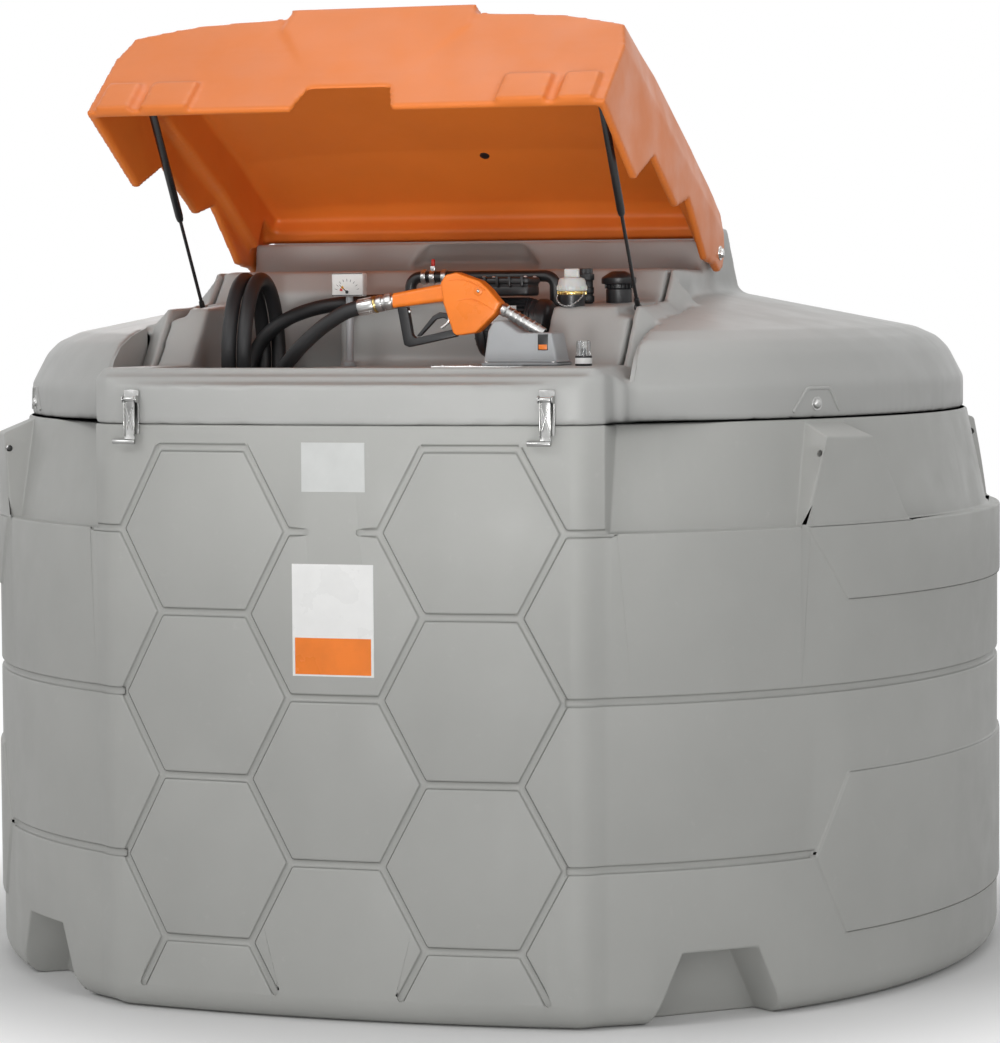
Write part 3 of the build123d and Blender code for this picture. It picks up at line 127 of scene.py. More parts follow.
def maths(tree, operation, *values, clamp=False):
    node = add(tree, "ShaderNodeMath", dict(enumerate(values)), operation=operation, use_clamp=clamp)
    return node.outputs["Value"]


def noise(tree, coords, scale, detail=4.0, rough=0.55):
    feeds = {"Vector": coords, "Scale": scale, "Detail": detail, "Roughness": rough}
    return add(tree, "ShaderNodeTexNoise", feeds).outputs["Fac"]


def spread(tree, value, low, high, start=0.35, end=0.65):
    feeds = {"Value": value, "From Min": start, "From Max": end, "To Min": low, "To Max": high}
    return add(tree, "ShaderNodeMapRange", feeds).outputs["Result"]


def blend_colours(tree, factor, first, second):
    return add(tree, "ShaderNodeMix", {0: factor, 6: first, 7: second}, data_type="RGBA").outputs[2]


def shade(colour, share):
    return (*[min(1.0, channel * share) for channel in colour], 1.0)


def finish(
    name, colour, rough, metal=0.0, patches=(5.0, 0.05), grain=(220.0, 0.08), stretch=(1, 1, 1), scuffs=0.0,
    coat=0.0, swing=0.07, clear=0.0, glow=0.0
):
    """A moulded, painted or metal surface: cloudy colour, uneven gloss, fine grain and light scuffs."""
    material = bpy.data.materials.new(name)
    material.use_nodes = True
    tree = material.node_tree
    place = add(tree, "ShaderNodeTexCoord").outputs["Object"]
    stretched = add(tree, "ShaderNodeMapping", {"Vector": place, "Scale": stretch}).outputs["Vector"]
    cloud = spread(tree, noise(tree, place, patches[0], 5.0), 0.0, 1.0)
    mixed = blend_colours(tree, cloud, shade(colour, 1 - patches[1]), shade(colour, 1 + patches[1]))
    if scuffs:
        marks = spread(tree, noise(tree, stretched, 34.0, 8.0, 0.7), 0.0, scuffs, 0.6, 0.72)
        mixed = blend_colours(tree, marks, mixed, shade(colour, 1.5))
    gloss = spread(tree, noise(tree, stretched, 9.0, 6.0), rough - swing, rough + swing)
    height = noise(tree, stretched, grain[0], 3.0)
    bump = add(tree, "ShaderNodeBump", {"Strength": grain[1], "Distance": 0.001, "Height": height})
    shader = tree.nodes["Principled BSDF"]
    feed(
        tree, shader,
        {
            "Base Color": mixed, "Roughness": gloss, "Normal": bump.outputs["Normal"], "Metallic": metal,
            "Coat Weight": coat, "Coat Roughness": 0.2, "Transmission Weight": clear
        }
    )
    if glow:
        feed(tree, shader, {"Subsurface Weight": glow, "Subsurface Radius": (0.01, 0.006, 0.004)})
    return material


def make_finishes():
    tint = colours()
    made.update(
        tank=finish("tank_moulding", tint.tank, 0.47, patches=(3.2, 0.03), grain=(150.0, 0.1), scuffs=0.1),
        cover=finish(
            "cover_moulding", tint.cover, 0.42, patches=(3.0, 0.025), grain=(170.0, 0.08), scuffs=0.07
        ),
        bay=finish("bay_moulding", tint.cover, 0.44, patches=(4.0, 0.03), grain=(170.0, 0.08), scuffs=0.05),
        lid=finish("lid_moulding", tint.lid, 0.4, patches=(3.5, 0.035), grain=(170.0, 0.07), scuffs=0.05),
        nozzle=finish(
            "nozzle_cover", tint.nozzle, 0.33, patches=(14.0, 0.06), grain=(420.0, 0.06), scuffs=0.12
        ),
        black=finish(
            "black_moulding", tint.black, 0.38, patches=(18.0, 0.25), grain=(380.0, 0.12), scuffs=0.015
        ),
        rubber=finish("hose_rubber", tint.black, 0.55, patches=(12.0, 0.25), grain=(300.0, 0.2), scuffs=0.02),
        strut=finish("strut_paint", tint.black, 0.28, patches=(20.0, 0.2), grain=(400.0, 0.04), coat=0.4),
        motor=finish("motor_paint", (0.02, 0.02, 0.022), 0.36, patches=(25.0, 0.25), grain=(260.0, 0.25)),
        holder=finish(
            "holder_moulding", tint.holder, 0.4, patches=(9.0, 0.05), grain=(260.0, 0.1), scuffs=0.06
        ),
        white=finish("gauge_white", (0.78, 0.78, 0.76), 0.3, patches=(16.0, 0.02), grain=(300.0, 0.04)),
        cap=finish("cap_translucent", (0.74, 0.75, 0.72), 0.34, patches=(26.0, 0.06), glow=0.5, clear=0.25),
        glass=finish(
            "sight_clear", (0.93, 0.95, 0.95), 0.06, patches=(20.0, 0.01), grain=(60.0, 0.03), swing=0.03,
            clear=0.95
        ),
        steel=finish("zinc_plate", tint.steel, 0.3, 1.0, patches=(30.0, 0.12), grain=(500.0, 0.08)),
        brushed=finish(
            "brushed_stainless", shade(tint.steel, 0.8)[:3], 0.24, 1.0, patches=(30.0, 0.12),
            grain=(220.0, 0.1)
        ),
        brass=finish("brass", tint.brass, 0.3, 1.0, patches=(36.0, 0.15), grain=(420.0, 0.1)),
        red=finish("signal_red", (0.55, 0.03, 0.02), 0.35, patches=(40.0, 0.08), grain=(300.0, 0.05)),
        yellow=finish("signal_yellow", (0.8, 0.42, 0.03), 0.35, patches=(40.0, 0.08), grain=(300.0, 0.05)),
        label=finish("blank_label", (0.8, 0.8, 0.79), 0.3, patches=(22.0, 0.02), grain=(120.0, 0.05)),
        foil=finish("plate_foil", (0.56, 0.57, 0.56), 0.42, 0.2, patches=(18.0, 0.03), grain=(300.0, 0.04))
    )


# Mesh tools

# Distance at which points of a mesh count as one, in metres
weld = 0.000005


def shape_from(node, flat=0.4):
    """The node's solid as a mesh with whole faces, so that its edges can be rounded."""
    bm = bmesh.new()
    bm.from_mesh(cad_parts[node].data)
    bmesh.ops.remove_doubles(bm, verts=bm.verts, dist=0.00002)
    bmesh.ops.dissolve_limit(
        bm, angle_limit=radians(flat), use_dissolve_boundaries=False, verts=bm.verts[:], edges=bm.edges[:]
    )
    return bm


def round_edges(bm, radius, segments=3, angle=32):
    """Rounds every edge that turns by more than the angle."""
    sharp = [
        edge for edge in bm.edges if edge.is_manifold and edge.calc_face_angle(0) > radians(angle) and (
            edge.calc_length() > 0.4 * radius
        )
    ]
    bmesh.ops.bevel(
        bm, geom=sharp, offset=radius, offset_type="OFFSET", segments=segments, profile=0.5, affect="EDGES",
        clamp_overlap=False, loop_slide=True
    )
    return bm


def softened(node, grain, passes, share, *added):
    """The node's solid with all its edges softened, as rotational moulding leaves them."""
    bm = joined(shape_from(node), *added)
    mesh = bpy.data.meshes.new("soft")
    bm.to_mesh(mesh)
    bm.free()
    carrier = bpy.data.objects.new("soft", mesh)
    bpy.context.scene.collection.objects.link(carrier)
    skin = carrier.modifiers.new("skin", "REMESH")
    skin.mode = "VOXEL"
    skin.voxel_size = grain
    relax = carrier.modifiers.new("relax", "SMOOTH")
    relax.factor = 0.5
    relax.iterations = passes
    thin = carrier.modifiers.new("thin", "DECIMATE")
    thin.ratio = share
    bpy.context.view_layer.update()
    evaluated = carrier.evaluated_get(bpy.context.evaluated_depsgraph_get())
    result = bpy.data.meshes.new_from_object(evaluated)
    soft = bmesh.new()
    soft.from_mesh(result)
    bpy.data.objects.remove(carrier)
    bpy.data.meshes.remove(result)
    return soft


def box(low, high, edge=0.0, segments=2):
    """A block between two corners with rounded edges."""
    bm = bmesh.new()
    size = Vector(high) - Vector(low)
    centre = (Vector(high) + Vector(low)) / 2
    bmesh.ops.create_cube(bm, size=1, matrix=Matrix.Translation(centre) @ Matrix.Diagonal((*size, 1)))
    if edge:
        bmesh.ops.bevel(bm, geom=bm.edges[:], offset=edge, segments=segments, profile=0.5, affect="EDGES")
    return bm


def frame_at(origin, axis, up=(0, 0, 1)):
    """Matrix whose z runs along the axis and whose y is as near 'up' as it can be."""
    z = Vector(axis).normalized()
    side = Vector(up).cross(z)
    if side.length < 0.0001:
        side = Vector((1, 0, 0))
    x = side.normalized()
    y = z.cross(x)
    turn = Matrix((x, y, z)).transposed().to_4x4()
    return Matrix.Translation(Vector(origin)) @ turn


def turned(profile, origin, axis, steps=40, up=(0, 0, 1)):
    """A solid of revolution from (radius, distance along the axis) points."""
    bm = bmesh.new()
    verts = [bm.verts.new((radius, 0, height)) for radius, height in profile]
    edges = [bm.edges.new(pair) for pair in zip(verts, verts[1:])]
    bmesh.ops.spin(
        bm, geom=verts + edges, cent=(0, 0, 0), axis=(0, 0, 1), angle=2 * pi, steps=steps, use_merge=True
    )
    bmesh.ops.remove_doubles(bm, verts=bm.verts, dist=weld)
    bmesh.ops.transform(bm, matrix=frame_at(origin, axis, up), verts=bm.verts)
    return bm


def upright(profile, origin, steps):
    """A solid of revolution about a vertical line."""
    return turned(profile, origin, (0, 0, 1), steps, (0, 1, 0))


def rod(start, end, radius, edge=0.0, steps=24):
    """A round bar with a small chamfer at both ends."""
    length = (Vector(end) - Vector(start)).length
    edge = edge or radius * 0.15
    outline = (
        (0, 0), (radius - edge, 0), (radius, edge), (radius, length - edge), (radius - edge, length),
        (0, length)
    )
    return turned(outline, start, Vector(end) - Vector(start), steps)


def plate(outline, matrix, depth, edge=0.0):
    """A flat outline in the matrix's x and y, thickened along its z."""
    bm = bmesh.new()
    face = bm.faces.new([bm.verts.new((x, y, 0)) for x, y in outline])
    lifted = bmesh.ops.extrude_face_region(bm, geom=[face])
    verts = [item for item in lifted["geom"] if isinstance(item, bmesh.types.BMVert)]
    bmesh.ops.translate(bm, vec=(0, 0, depth), verts=verts)
    bmesh.ops.recalc_face_normals(bm, faces=bm.faces)
    if edge:
        bmesh.ops.bevel(bm, geom=bm.edges[:], offset=edge, segments=2, profile=0.5, affect="EDGES")
    bmesh.ops.transform(bm, matrix=matrix, verts=bm.verts)
    return bm


def joined(*shapes):
    """Several meshes as one."""
    whole = bmesh.new()
    for shape in shapes:
        carrier = bpy.data.meshes.new("carrier")
        shape.to_mesh(carrier)
        shape.free()
        whole.from_mesh(carrier)
        bpy.data.meshes.remove(carrier)
    return whole


def piece(name, bm, paint, *replaced, body="tank", crease=38, slot=None):
    """Turns a mesh into a finished piece that rides on a body and stands for the replaced nodes."""
    bmesh.ops.recalc_face_normals(bm, faces=bm.faces)
    for face in bm.faces:
        face.smooth = True
    for edge in bm.edges:
        edge.smooth = edge.is_manifold and edge.calc_face_angle(0) < radians(crease)
    mesh = bpy.data.meshes.new(name)
    bm.to_mesh(mesh)
    bm.free()
    thing = bpy.data.objects.new(name, mesh)
    bpy.context.scene.collection.objects.link(thing)
    mesh.materials.append(made[paint])
    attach(thing, body)
    if replaced:
        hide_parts(*replaced)


def curve_through(name, points):
    """A smooth open curve through the control points."""
    curve = bpy.data.curves.new(name, "CURVE")
    curve.dimensions = "3D"
    spline = curve.splines.new("NURBS")
    spline.points.add(len(points) - 1)
    for point, place in zip(spline.points, points):
        point.co = (*place, 1)
    spline.order_u = 3
    spline.use_endpoint_u = True
    return curve


def tube(points, radius, steps=12, smooth=6):
    """A round tube along a smooth line through the control points, closed at both ends."""
    curve = curve_through("tube", points)
    curve.bevel_depth = radius
    curve.bevel_resolution = max(1, steps // 4)
    curve.resolution_u = smooth
    curve.use_fill_caps = True
    carrier = bpy.data.objects.new("tube", curve)
    mesh = bpy.data.meshes.new_from_object(carrier)
    bm = bmesh.new()
    bm.from_mesh(mesh)
    bpy.data.objects.remove(carrier)
    bpy.data.curves.remove(curve)
    bpy.data.meshes.remove(mesh)
    bmesh.ops.remove_doubles(bm, verts=bm.verts, dist=weld)
    return bm


def surface(node):
    """Search tree over a node, to seat a piece on it."""
    bm = bmesh.new()
    bm.from_mesh(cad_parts[node].data)
    tree = BVHTree.FromBMesh(bm)
    bm.free()
    return tree


def seat(tree, start, direction):
    """Where a line from 'start' first meets the surface, and the surface's normal there."""
    place, normal, _, _ = tree.ray_cast(Vector(start), Vector(direction).normalized())
    if place is None:
        raise RuntimeError(f"no surface ahead of {start}")
    return (place, normal)


# Geometry node trees

def new_tree(name, inputs):
    tree = bpy.data.node_groups.new(name, "GeometryNodeTree")
    tree.interface.new_socket(name="Geometry", in_out="INPUT", socket_type="NodeSocketGeometry")
    for label, kind, default in inputs:
        socket = tree.interface.new_socket(name=label, in_out="INPUT", socket_type=f"NodeSocket{kind}")
        if default is not None:
            socket.default_value = default
    tree.interface.new_socket(name="Geometry", in_out="OUTPUT", socket_type="NodeSocketGeometry")
    return (tree, tree.nodes.new("NodeGroupInput"), tree.nodes.new("NodeGroupOutput"))


def on_points(tree, entry, points, rotation=None, scale=None):
    """Puts the item on the points and makes it real."""
    info = add(tree, "GeometryNodeObjectInfo", {"Object": entry.outputs["Item"]})
    feeds = {"Points": points, "Instance": info.outputs["Geometry"], "Rotation": rotation, "Scale": scale}
    spots = add(
        tree, "GeometryNodeInstanceOnPoints", {key: fed for key, fed in feeds.items() if fed is not None}
    )
    real = add(tree, "GeometryNodeRealizeInstances", {"Geometry": spots.outputs["Instances"]})
    return real.outputs["Geometry"]


def paint_and_end(tree, entry, ending, geometry):
    """Gives the geometry its finish and ends the tree."""
    paint = add(tree, "GeometryNodeSetMaterial", {"Geometry": geometry, "Material": entry.outputs["Finish"]})
    feed(tree, ending, {"Geometry": paint.outputs["Geometry"]})
    return tree


def fixings_tree():
    """Items on the mesh's points, each facing along the point's 'facing' direction."""
    tree, entry, ending = new_tree(
        "Fixings", (("Item", "Object", None), ("Size", "Float", 1.0), ("Finish", "Material", None))
    )
    facing = add(tree, "GeometryNodeInputNamedAttribute", {"Name": "facing"}, data_type="FLOAT_VECTOR")
    align = add(tree, "FunctionNodeAlignRotationToVector", {"Vector": facing.outputs["Attribute"]}, axis="Z")
    points, size = (entry.outputs["Geometry"], entry.outputs["Size"])
    return paint_and_end(tree, entry, ending, on_points(tree, entry, points, align.outputs["Rotation"], size))


def row_tree():
    """A straight row of items, a step apart."""
    tree, entry, ending = new_tree(
        "Row",
        (
            ("Item", "Object", None), ("Count", "Int", 4), ("Start", "Vector", None),
            ("Step", "Vector", None), ("Finish", "Material", None)
        )
    )
    feeds = {
        "Count": entry.outputs["Count"], "Start Location": entry.outputs["Start"],
        "Offset": entry.outputs["Step"]
    }
    line = add(tree, "GeometryNodeMeshLine", feeds, mode="OFFSET")
    return paint_and_end(tree, entry, ending, on_points(tree, entry, line.outputs["Mesh"]))


def ring_tree():
    """Items round an arc about the Z axis, each with its x pointing outwards, then put in place."""
    tree, entry, ending = new_tree(
        "Ring",
        (
            ("Item", "Object", None), ("Count", "Int", 8), ("Radius", "Float", 0.1), ("Start", "Float", 0.0),
            ("Sweep", "Float", 6.2832), ("Centre", "Vector", None), ("Turn", "Rotation", None),
            ("Finish", "Material", None)
        )
    )
    given = entry.outputs
    points = add(tree, "GeometryNodeMeshLine", {"Count": given["Count"]})
    index = add(tree, "GeometryNodeInputIndex").outputs["Index"]
    share = maths(tree, "DIVIDE", index, given["Count"])
    angle = maths(tree, "MULTIPLY_ADD", share, given["Sweep"], given["Start"])
    turn = add(
        tree, "FunctionNodeAxisAngleToRotation", {"Axis": (0, 0, 1), "Angle": angle}
    ).outputs["Rotation"]
    arm = add(tree, "ShaderNodeCombineXYZ", {"X": given["Radius"]}).outputs["Vector"]
    place = add(tree, "FunctionNodeRotateVector", {"Vector": arm, "Rotation": turn}).outputs["Vector"]
    spread_out = {"Geometry": points.outputs["Mesh"], "Position": place}
    move = add(tree, "GeometryNodeSetPosition", spread_out).outputs["Geometry"]
    put = add(
        tree, "GeometryNodeTransform",
        {
            "Geometry": on_points(tree, entry, move, turn), "Translation": given["Centre"],
            "Rotation": given["Turn"]
        }
    )
    return paint_and_end(tree, entry, ending, put.outputs["Geometry"])


def chain_tree():
    """Items along a curve, every second one turned a quarter about the line."""
    tree, entry, ending = new_tree(
        "Chain", (("Item", "Object", None), ("Spacing", "Float", 0.006), ("Finish", "Material", None))
    )
    feeds = {"Curve": entry.outputs["Geometry"], "Length": entry.outputs["Spacing"]}
    sample = add(tree, "GeometryNodeResampleCurve", feeds, mode="LENGTH")
    points = add(tree, "GeometryNodeCurveToPoints", {"Curve": sample.outputs["Curve"]}, mode="EVALUATED")
    quarter = maths(tree, "MULTIPLY", add(tree, "GeometryNodeInputIndex").outputs["Index"], pi / 2)
    roll = add(tree, "FunctionNodeAxisAngleToRotation", {"Axis": (0, 0, 1), "Angle": quarter})
    feeds = {"Rotation": points.outputs["Rotation"], "Rotate By": roll.outputs["Rotation"]}
    turn = add(tree, "FunctionNodeRotateRotation", feeds, rotation_space="LOCAL").outputs["Rotation"]
    return paint_and_end(tree, entry, ending, on_points(tree, entry, points.outputs["Points"], turn))


def grown(tree, values, source=None):
    """Runs a tree on an object, or on an empty mesh, and returns the plain mesh that it makes."""
    if source is None:
        source = bpy.data.objects.new("seed", bpy.data.meshes.new("seed"))
    bpy.context.scene.collection.objects.link(source)
    item = bpy.data.objects.new("item", bpy.data.meshes.new("item"))
    bm = values.pop("Item")
    bm.to_mesh(item.data)
    bm.free()
    bpy.context.scene.collection.objects.link(item)
    modifier = source.modifiers.new("grow", "NODES")
    modifier.node_group = tree
    values["Item"] = item
    for socket in tree.interface.items_tree:
        if socket.in_out == "INPUT" and socket.name in values:
            modifier[socket.identifier] = values[socket.name]
    bpy.context.view_layer.update()
    evaluated = source.evaluated_get(bpy.context.evaluated_depsgraph_get())
    mesh = bpy.data.meshes.new_from_object(evaluated)
    result = bmesh.new()
    result.from_mesh(mesh)
    source.modifiers.remove(modifier)
    bpy.data.objects.remove(source)
    bpy.data.objects.remove(item)
    return result


def ring_of(item, count, radius, centre, turn, paint, start=0.0, sweep=2 * pi):
    """The item repeated round an arc."""
    return grown(
        ring_tree(),
        {
            "Item": item, "Count": count, "Radius": radius, "Start": start, "Sweep": sweep, "Centre": centre,
            "Turn": turn, "Finish": made[paint]
        }
    )


def points_facing(places):
    """Object whose points carry their facing directions."""
    mesh = bpy.data.meshes.new("points")
    mesh.from_pydata([place for place, _ in places], [], [])
    facing = mesh.attributes.new("facing", "FLOAT_VECTOR", "POINT")
    for value, (_, direction) in zip(facing.data, places):
        value.vector = Vector(direction).normalized()
    return bpy.data.objects.new("points", mesh)


def put_heads(name, head, places, body="tank"):
    """Screw or bolt heads on their places, as one steel piece."""
    heads = grown(fixings_tree(), {"Item": head, "Size": 1.0, "Finish": made["steel"]}, points_facing(places))
    piece(name, heads, "steel", body=body)


def line_of(points):
    """Plain curve object through the control points, for a chain to follow."""
    return bpy.data.objects.new("line", curve_through("line", points))


def button_head(radius, washer=0.0):
    """A domed screw head with a six-sided socket, and a washer under it if one is asked for."""
    base = 0.12 * radius if washer else 0.0
    profile = [
        (0, 0.62 * radius + base), (0.45 * radius, 0.6 * radius + base), (0.8 * radius, 0.42 * radius + base),
        (radius, 0.12 * radius + base), (radius, base)
    ]
    if washer:
        profile += [(washer - 0.0006, base), (washer, base - 0.0006), (washer, -0.001), (0, -0.001)]
    else:
        profile += [(radius, -0.001), (0, -0.001)]
    head = upright(profile, (0, 0, 0), 20)
    hexagon = [(0.42 * radius * cos(k * pi / 3), 0.42 * radius * sin(k * pi / 3)) for k in range(6)]
    rim = plate(hexagon, Matrix.Translation((0, 0, 0.5 * radius + base)), 0.14 * radius)
    return joined(head, rim)


def hex_head(radius, height, washer=0.0):
    """A six-sided bolt head with a washer."""
    corners = [(radius * cos(k * pi / 3), radius * sin(k * pi / 3)) for k in range(6)]
    head = plate(corners, Matrix.Translation((0, 0, 0.001)), height, height * 0.15)
    disc = upright(
        [(0, 0.0016), (washer - 0.0004, 0.0016), (washer, 0.001), (washer, -0.001), (0, -0.001)], (0, 0, 0),
        24
    )
    return joined(head, disc)


# Closed frame of the lid, which stands open about its hinge
hinge = Vector((0, -0.15, 1.653))
open_angle = radians(31.7)
lid_y = Vector((0, cos(open_angle), -sin(open_angle)))
lid_z = Vector((0, sin(open_angle), cos(open_angle)))


def opened(x, y, z):
    """A point of the closed lid as it stands open."""
    return Vector((x, 0, 0)) + hinge + lid_y * (y - hinge.y) + lid_z * (z - hinge.z)


class TANK_OT_camera(bpy.types.Operator):
    """Places the camera where the tank is seen from"""

    bl_idname = "tank.camera"
    bl_label = "Camera"

    def execute(self, context):
        lens = bpy.data.cameras.new("camera")
        lens.lens = 124.25
        lens.clip_end = 100
        eye = bpy.data.objects.new("camera", lens)
        context.scene.collection.objects.link(eye)
        view = Matrix.Translation((2.642, -8.372, 1.545))
        for turn, axis in ((17.556, "Z"), (90 - 3.51, "X"), (-0.39, "Z")):
            view = view @ Matrix.Rotation(radians(turn), 4, axis)
        eye.matrix_world = view
        context.scene.camera = eye
        return {"FINISHED"}


# Route of the hose: from the pump, round the hanging turns, which count their angle from the back
# upwards in degrees, and to the nozzle
coil_centre = Vector((-0.363, -0.72, 1.443))
coil_turn = radians(9.8)
coil_pitch = 0.035
coil_start, coil_end, coil_step = (-74.5, -790.5, 13.77)
pump_run = (
    (-0.062, -0.588, 1.545), (-0.08, -0.588, 1.545), (-0.105, -0.589, 1.545), (-0.136, -0.591, 1.544),
    (-0.171, -0.593, 1.543), (-0.209, -0.595, 1.539), (-0.248, -0.596, 1.533), (-0.287, -0.597, 1.523),
    (-0.322, -0.596, 1.51), (-0.354, -0.595, 1.492), (-0.38, -0.595, 1.471), (-0.4, -0.595, 1.446),
    (-0.414, -0.598, 1.419), (-0.422, -0.604, 1.39), (-0.424, -0.616, 1.361), (-0.421, -0.633, 1.335),
    (-0.415, -0.658, 1.314)
)
nozzle_run = (
    (-0.333, -0.7, 1.294), (-0.325, -0.735, 1.295), (-0.315, -0.768, 1.303), (-0.302, -0.799, 1.317),
    (-0.286, -0.826, 1.337), (-0.266, -0.85, 1.36), (-0.243, -0.87, 1.386), (-0.217, -0.886, 1.413),
    (-0.189, -0.898, 1.44), (-0.159, -0.908, 1.464), (-0.129, -0.914, 1.487), (-0.1, -0.919, 1.505),
    (-0.075, -0.922, 1.519), (-0.052, -0.924, 1.528), (-0.035, -0.924, 1.532)
)


def coil_route(radius):
    """Control points of the hanging turns, side by side along the coil's axis."""
    across = Vector((cos(coil_turn), sin(coil_turn), 0))
    back = Vector((-sin(coil_turn), cos(coil_turn), 0))
    up = Vector((0, 0, 1))
    count = round((coil_start - coil_end) / coil_step)
    route = []
    for step in range(count + 1):
        angle = coil_start + (coil_end - coil_start) * step / count
        shift = coil_pitch * (-450 - angle) / 360
        turn = radians(angle)
        route.append(coil_centre + radius * (cos(turn) * back + sin(turn) * up) + shift * across)
    return route


class TANK_OT_hose(bpy.types.Operator):
    """Makes the fuelling hose, from the pump's pipe through its hanging turns to the nozzle"""

    bl_idname = "tank.hose"
    bl_label = "Hose"

    def execute(self, context):
        diameter = sizes().hose
        route = [*map(Vector, pump_run), *coil_route(sizes().loop), *map(Vector, nozzle_run)]
        curve = curve_through("fuelling_hose", route)
        curve.bevel_depth = diameter / 2
        curve.bevel_resolution = 6
        curve.resolution_u = 8
        curve.use_fill_caps = True
        hose = bpy.data.objects.new("fuelling_hose", curve)
        context.scene.collection.objects.link(hose)
        curve.materials.append(made["rubber"])
        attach(hose, "tank")
        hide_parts("hose_to_pump", "hose_coil", "hose_to_nozzle")
        tuple(route[0])
        return {"FINISHED"}


class TANK_OT_shells(bpy.types.Operator):
    """Rounds the edges of the tank, its cover and the bay, and gives them their plastic"""

    bl_idname = "tank.shells"
    bl_label = "Tank shells"

    def execute(self, context):
        edge, grain = sizes().shell_edge, sizes().cover_grain
        # a layer under the rounded skin, where edges run out too tight for the rounding
        backing = shape_from("outer_tank")
        backing.normal_update()
        for corner in backing.verts:
            corner.co -= corner.normal * 0.7 * edge
        skin = round_edges(shape_from("outer_tank"), edge)
        piece("outer_tank_skin", joined(skin, backing), "tank", "outer_tank")
        piece("top_cover_skin", softened("top_cover", grain, 5, 0.6), "cover", "top_cover", crease=180)
        piece(
            "inner_tank_top_skin", softened("inner_tank_top", grain, 4, 0.6), "bay", "inner_tank_top",
            crease=180
        )
        # walls between the dome and the sides of the rim, from the lowest band up into the dome's wall
        flanks = []
        for side in (-1, 1):
            outline = [
                (-1.0, 1.338), (-0.78, 1.338), (-0.78, 1.49), (-0.867, 1.471), (-0.932, 1.447),
                (-0.967, 1.419), (-1.0, 1.372)
            ]
            place = Matrix(((0, 0, 1, side * 0.6), (1, 0, 0, 0), (0, 1, 0, 0), (0, 0, 0, 1)))
            flanks.append(plate(outline, place, side * 0.009))
        piece("rim_flanks", joined(*flanks), "cover")
        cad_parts["inner_tank"].data.materials.clear()
        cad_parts["inner_tank"].data.materials.append(made["tank"])
        return {"FINISHED"}


class TANK_OT_lid(bpy.types.Operator):
    """Makes the orange lid with its soft edges, the bead along its rear edge and its plug"""

    bl_idname = "tank.lid"
    bl_label = "Lid"

    def execute(self, context):
        # layer inside the front wall, which is thin where the inside's two shapes meet
        front = [
            (-1.049 - (1.66 - z) * 0.408 + depth, z)
            for z, depth in ((1.5, 0.004), (1.604, 0.004), (1.604, 0.022), (1.5, 0.018))
        ]
        foot = opened(-0.56, 0, 0)
        place = Matrix(
            ((0, 0, 1, foot.x), (lid_y.y, lid_z.y, 0, foot.y), (lid_y.z, lid_z.z, 0, foot.z), (0, 0, 0, 1))
        )
        lip = plate(front, place, 1.12)
        bead = rod(opened(-0.576, -0.14, 1.714), opened(0.576, -0.14, 1.714), 0.013, 0.004, 20)
        piece(
            "lid_shell", softened("lid", sizes().lid_grain, 4, 0.6, lip, bead), "lid", "lid", body="lid",
            crease=180
        )
        inside = surface("lid")
        place, normal = seat(inside, opened(0.055, -0.395, 1.6), lid_z)
        profile = ((0, 0.004), (0.007, 0.0038), (0.0112, 0.002), (0.012, -0.001), (0, -0.001))
        piece("lid_plug", turned(profile, place, normal, 28), "black", body="lid")
        return {"FINISHED"}


class TANK_OT_hinges(bpy.types.Operator):
    """Puts the hinge bolts with their washers on the lid's ears"""

    bl_idname = "tank.hinges"
    bl_label = "Hinge bolts"

    def execute(self, context):
        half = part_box("lid")[1][0]
        places = [(Vector((side * (half + 0.0005), hinge.y, hinge.z)), (side, 0, 0)) for side in (-1, 1)]
        washer = sizes().washer / 2
        put_heads("hinge_bolts", hex_head(0.011, 0.0075, washer), places, "lid")
        piece("hinge_bars", round_edges(shape_from("hinge_pins"), 0.001, 2), "steel", "hinge_pins")
        return {"FINISHED"}


# Line of the struts in the open pose, with the ball ends beside the middle plane
strut_axis = Vector((0, 0.545062, -0.838396))
strut_head = Vector((0, -0.93737, 1.99002))
strut_foot = Vector((0, -0.637, 1.528))
strut_x = 0.52


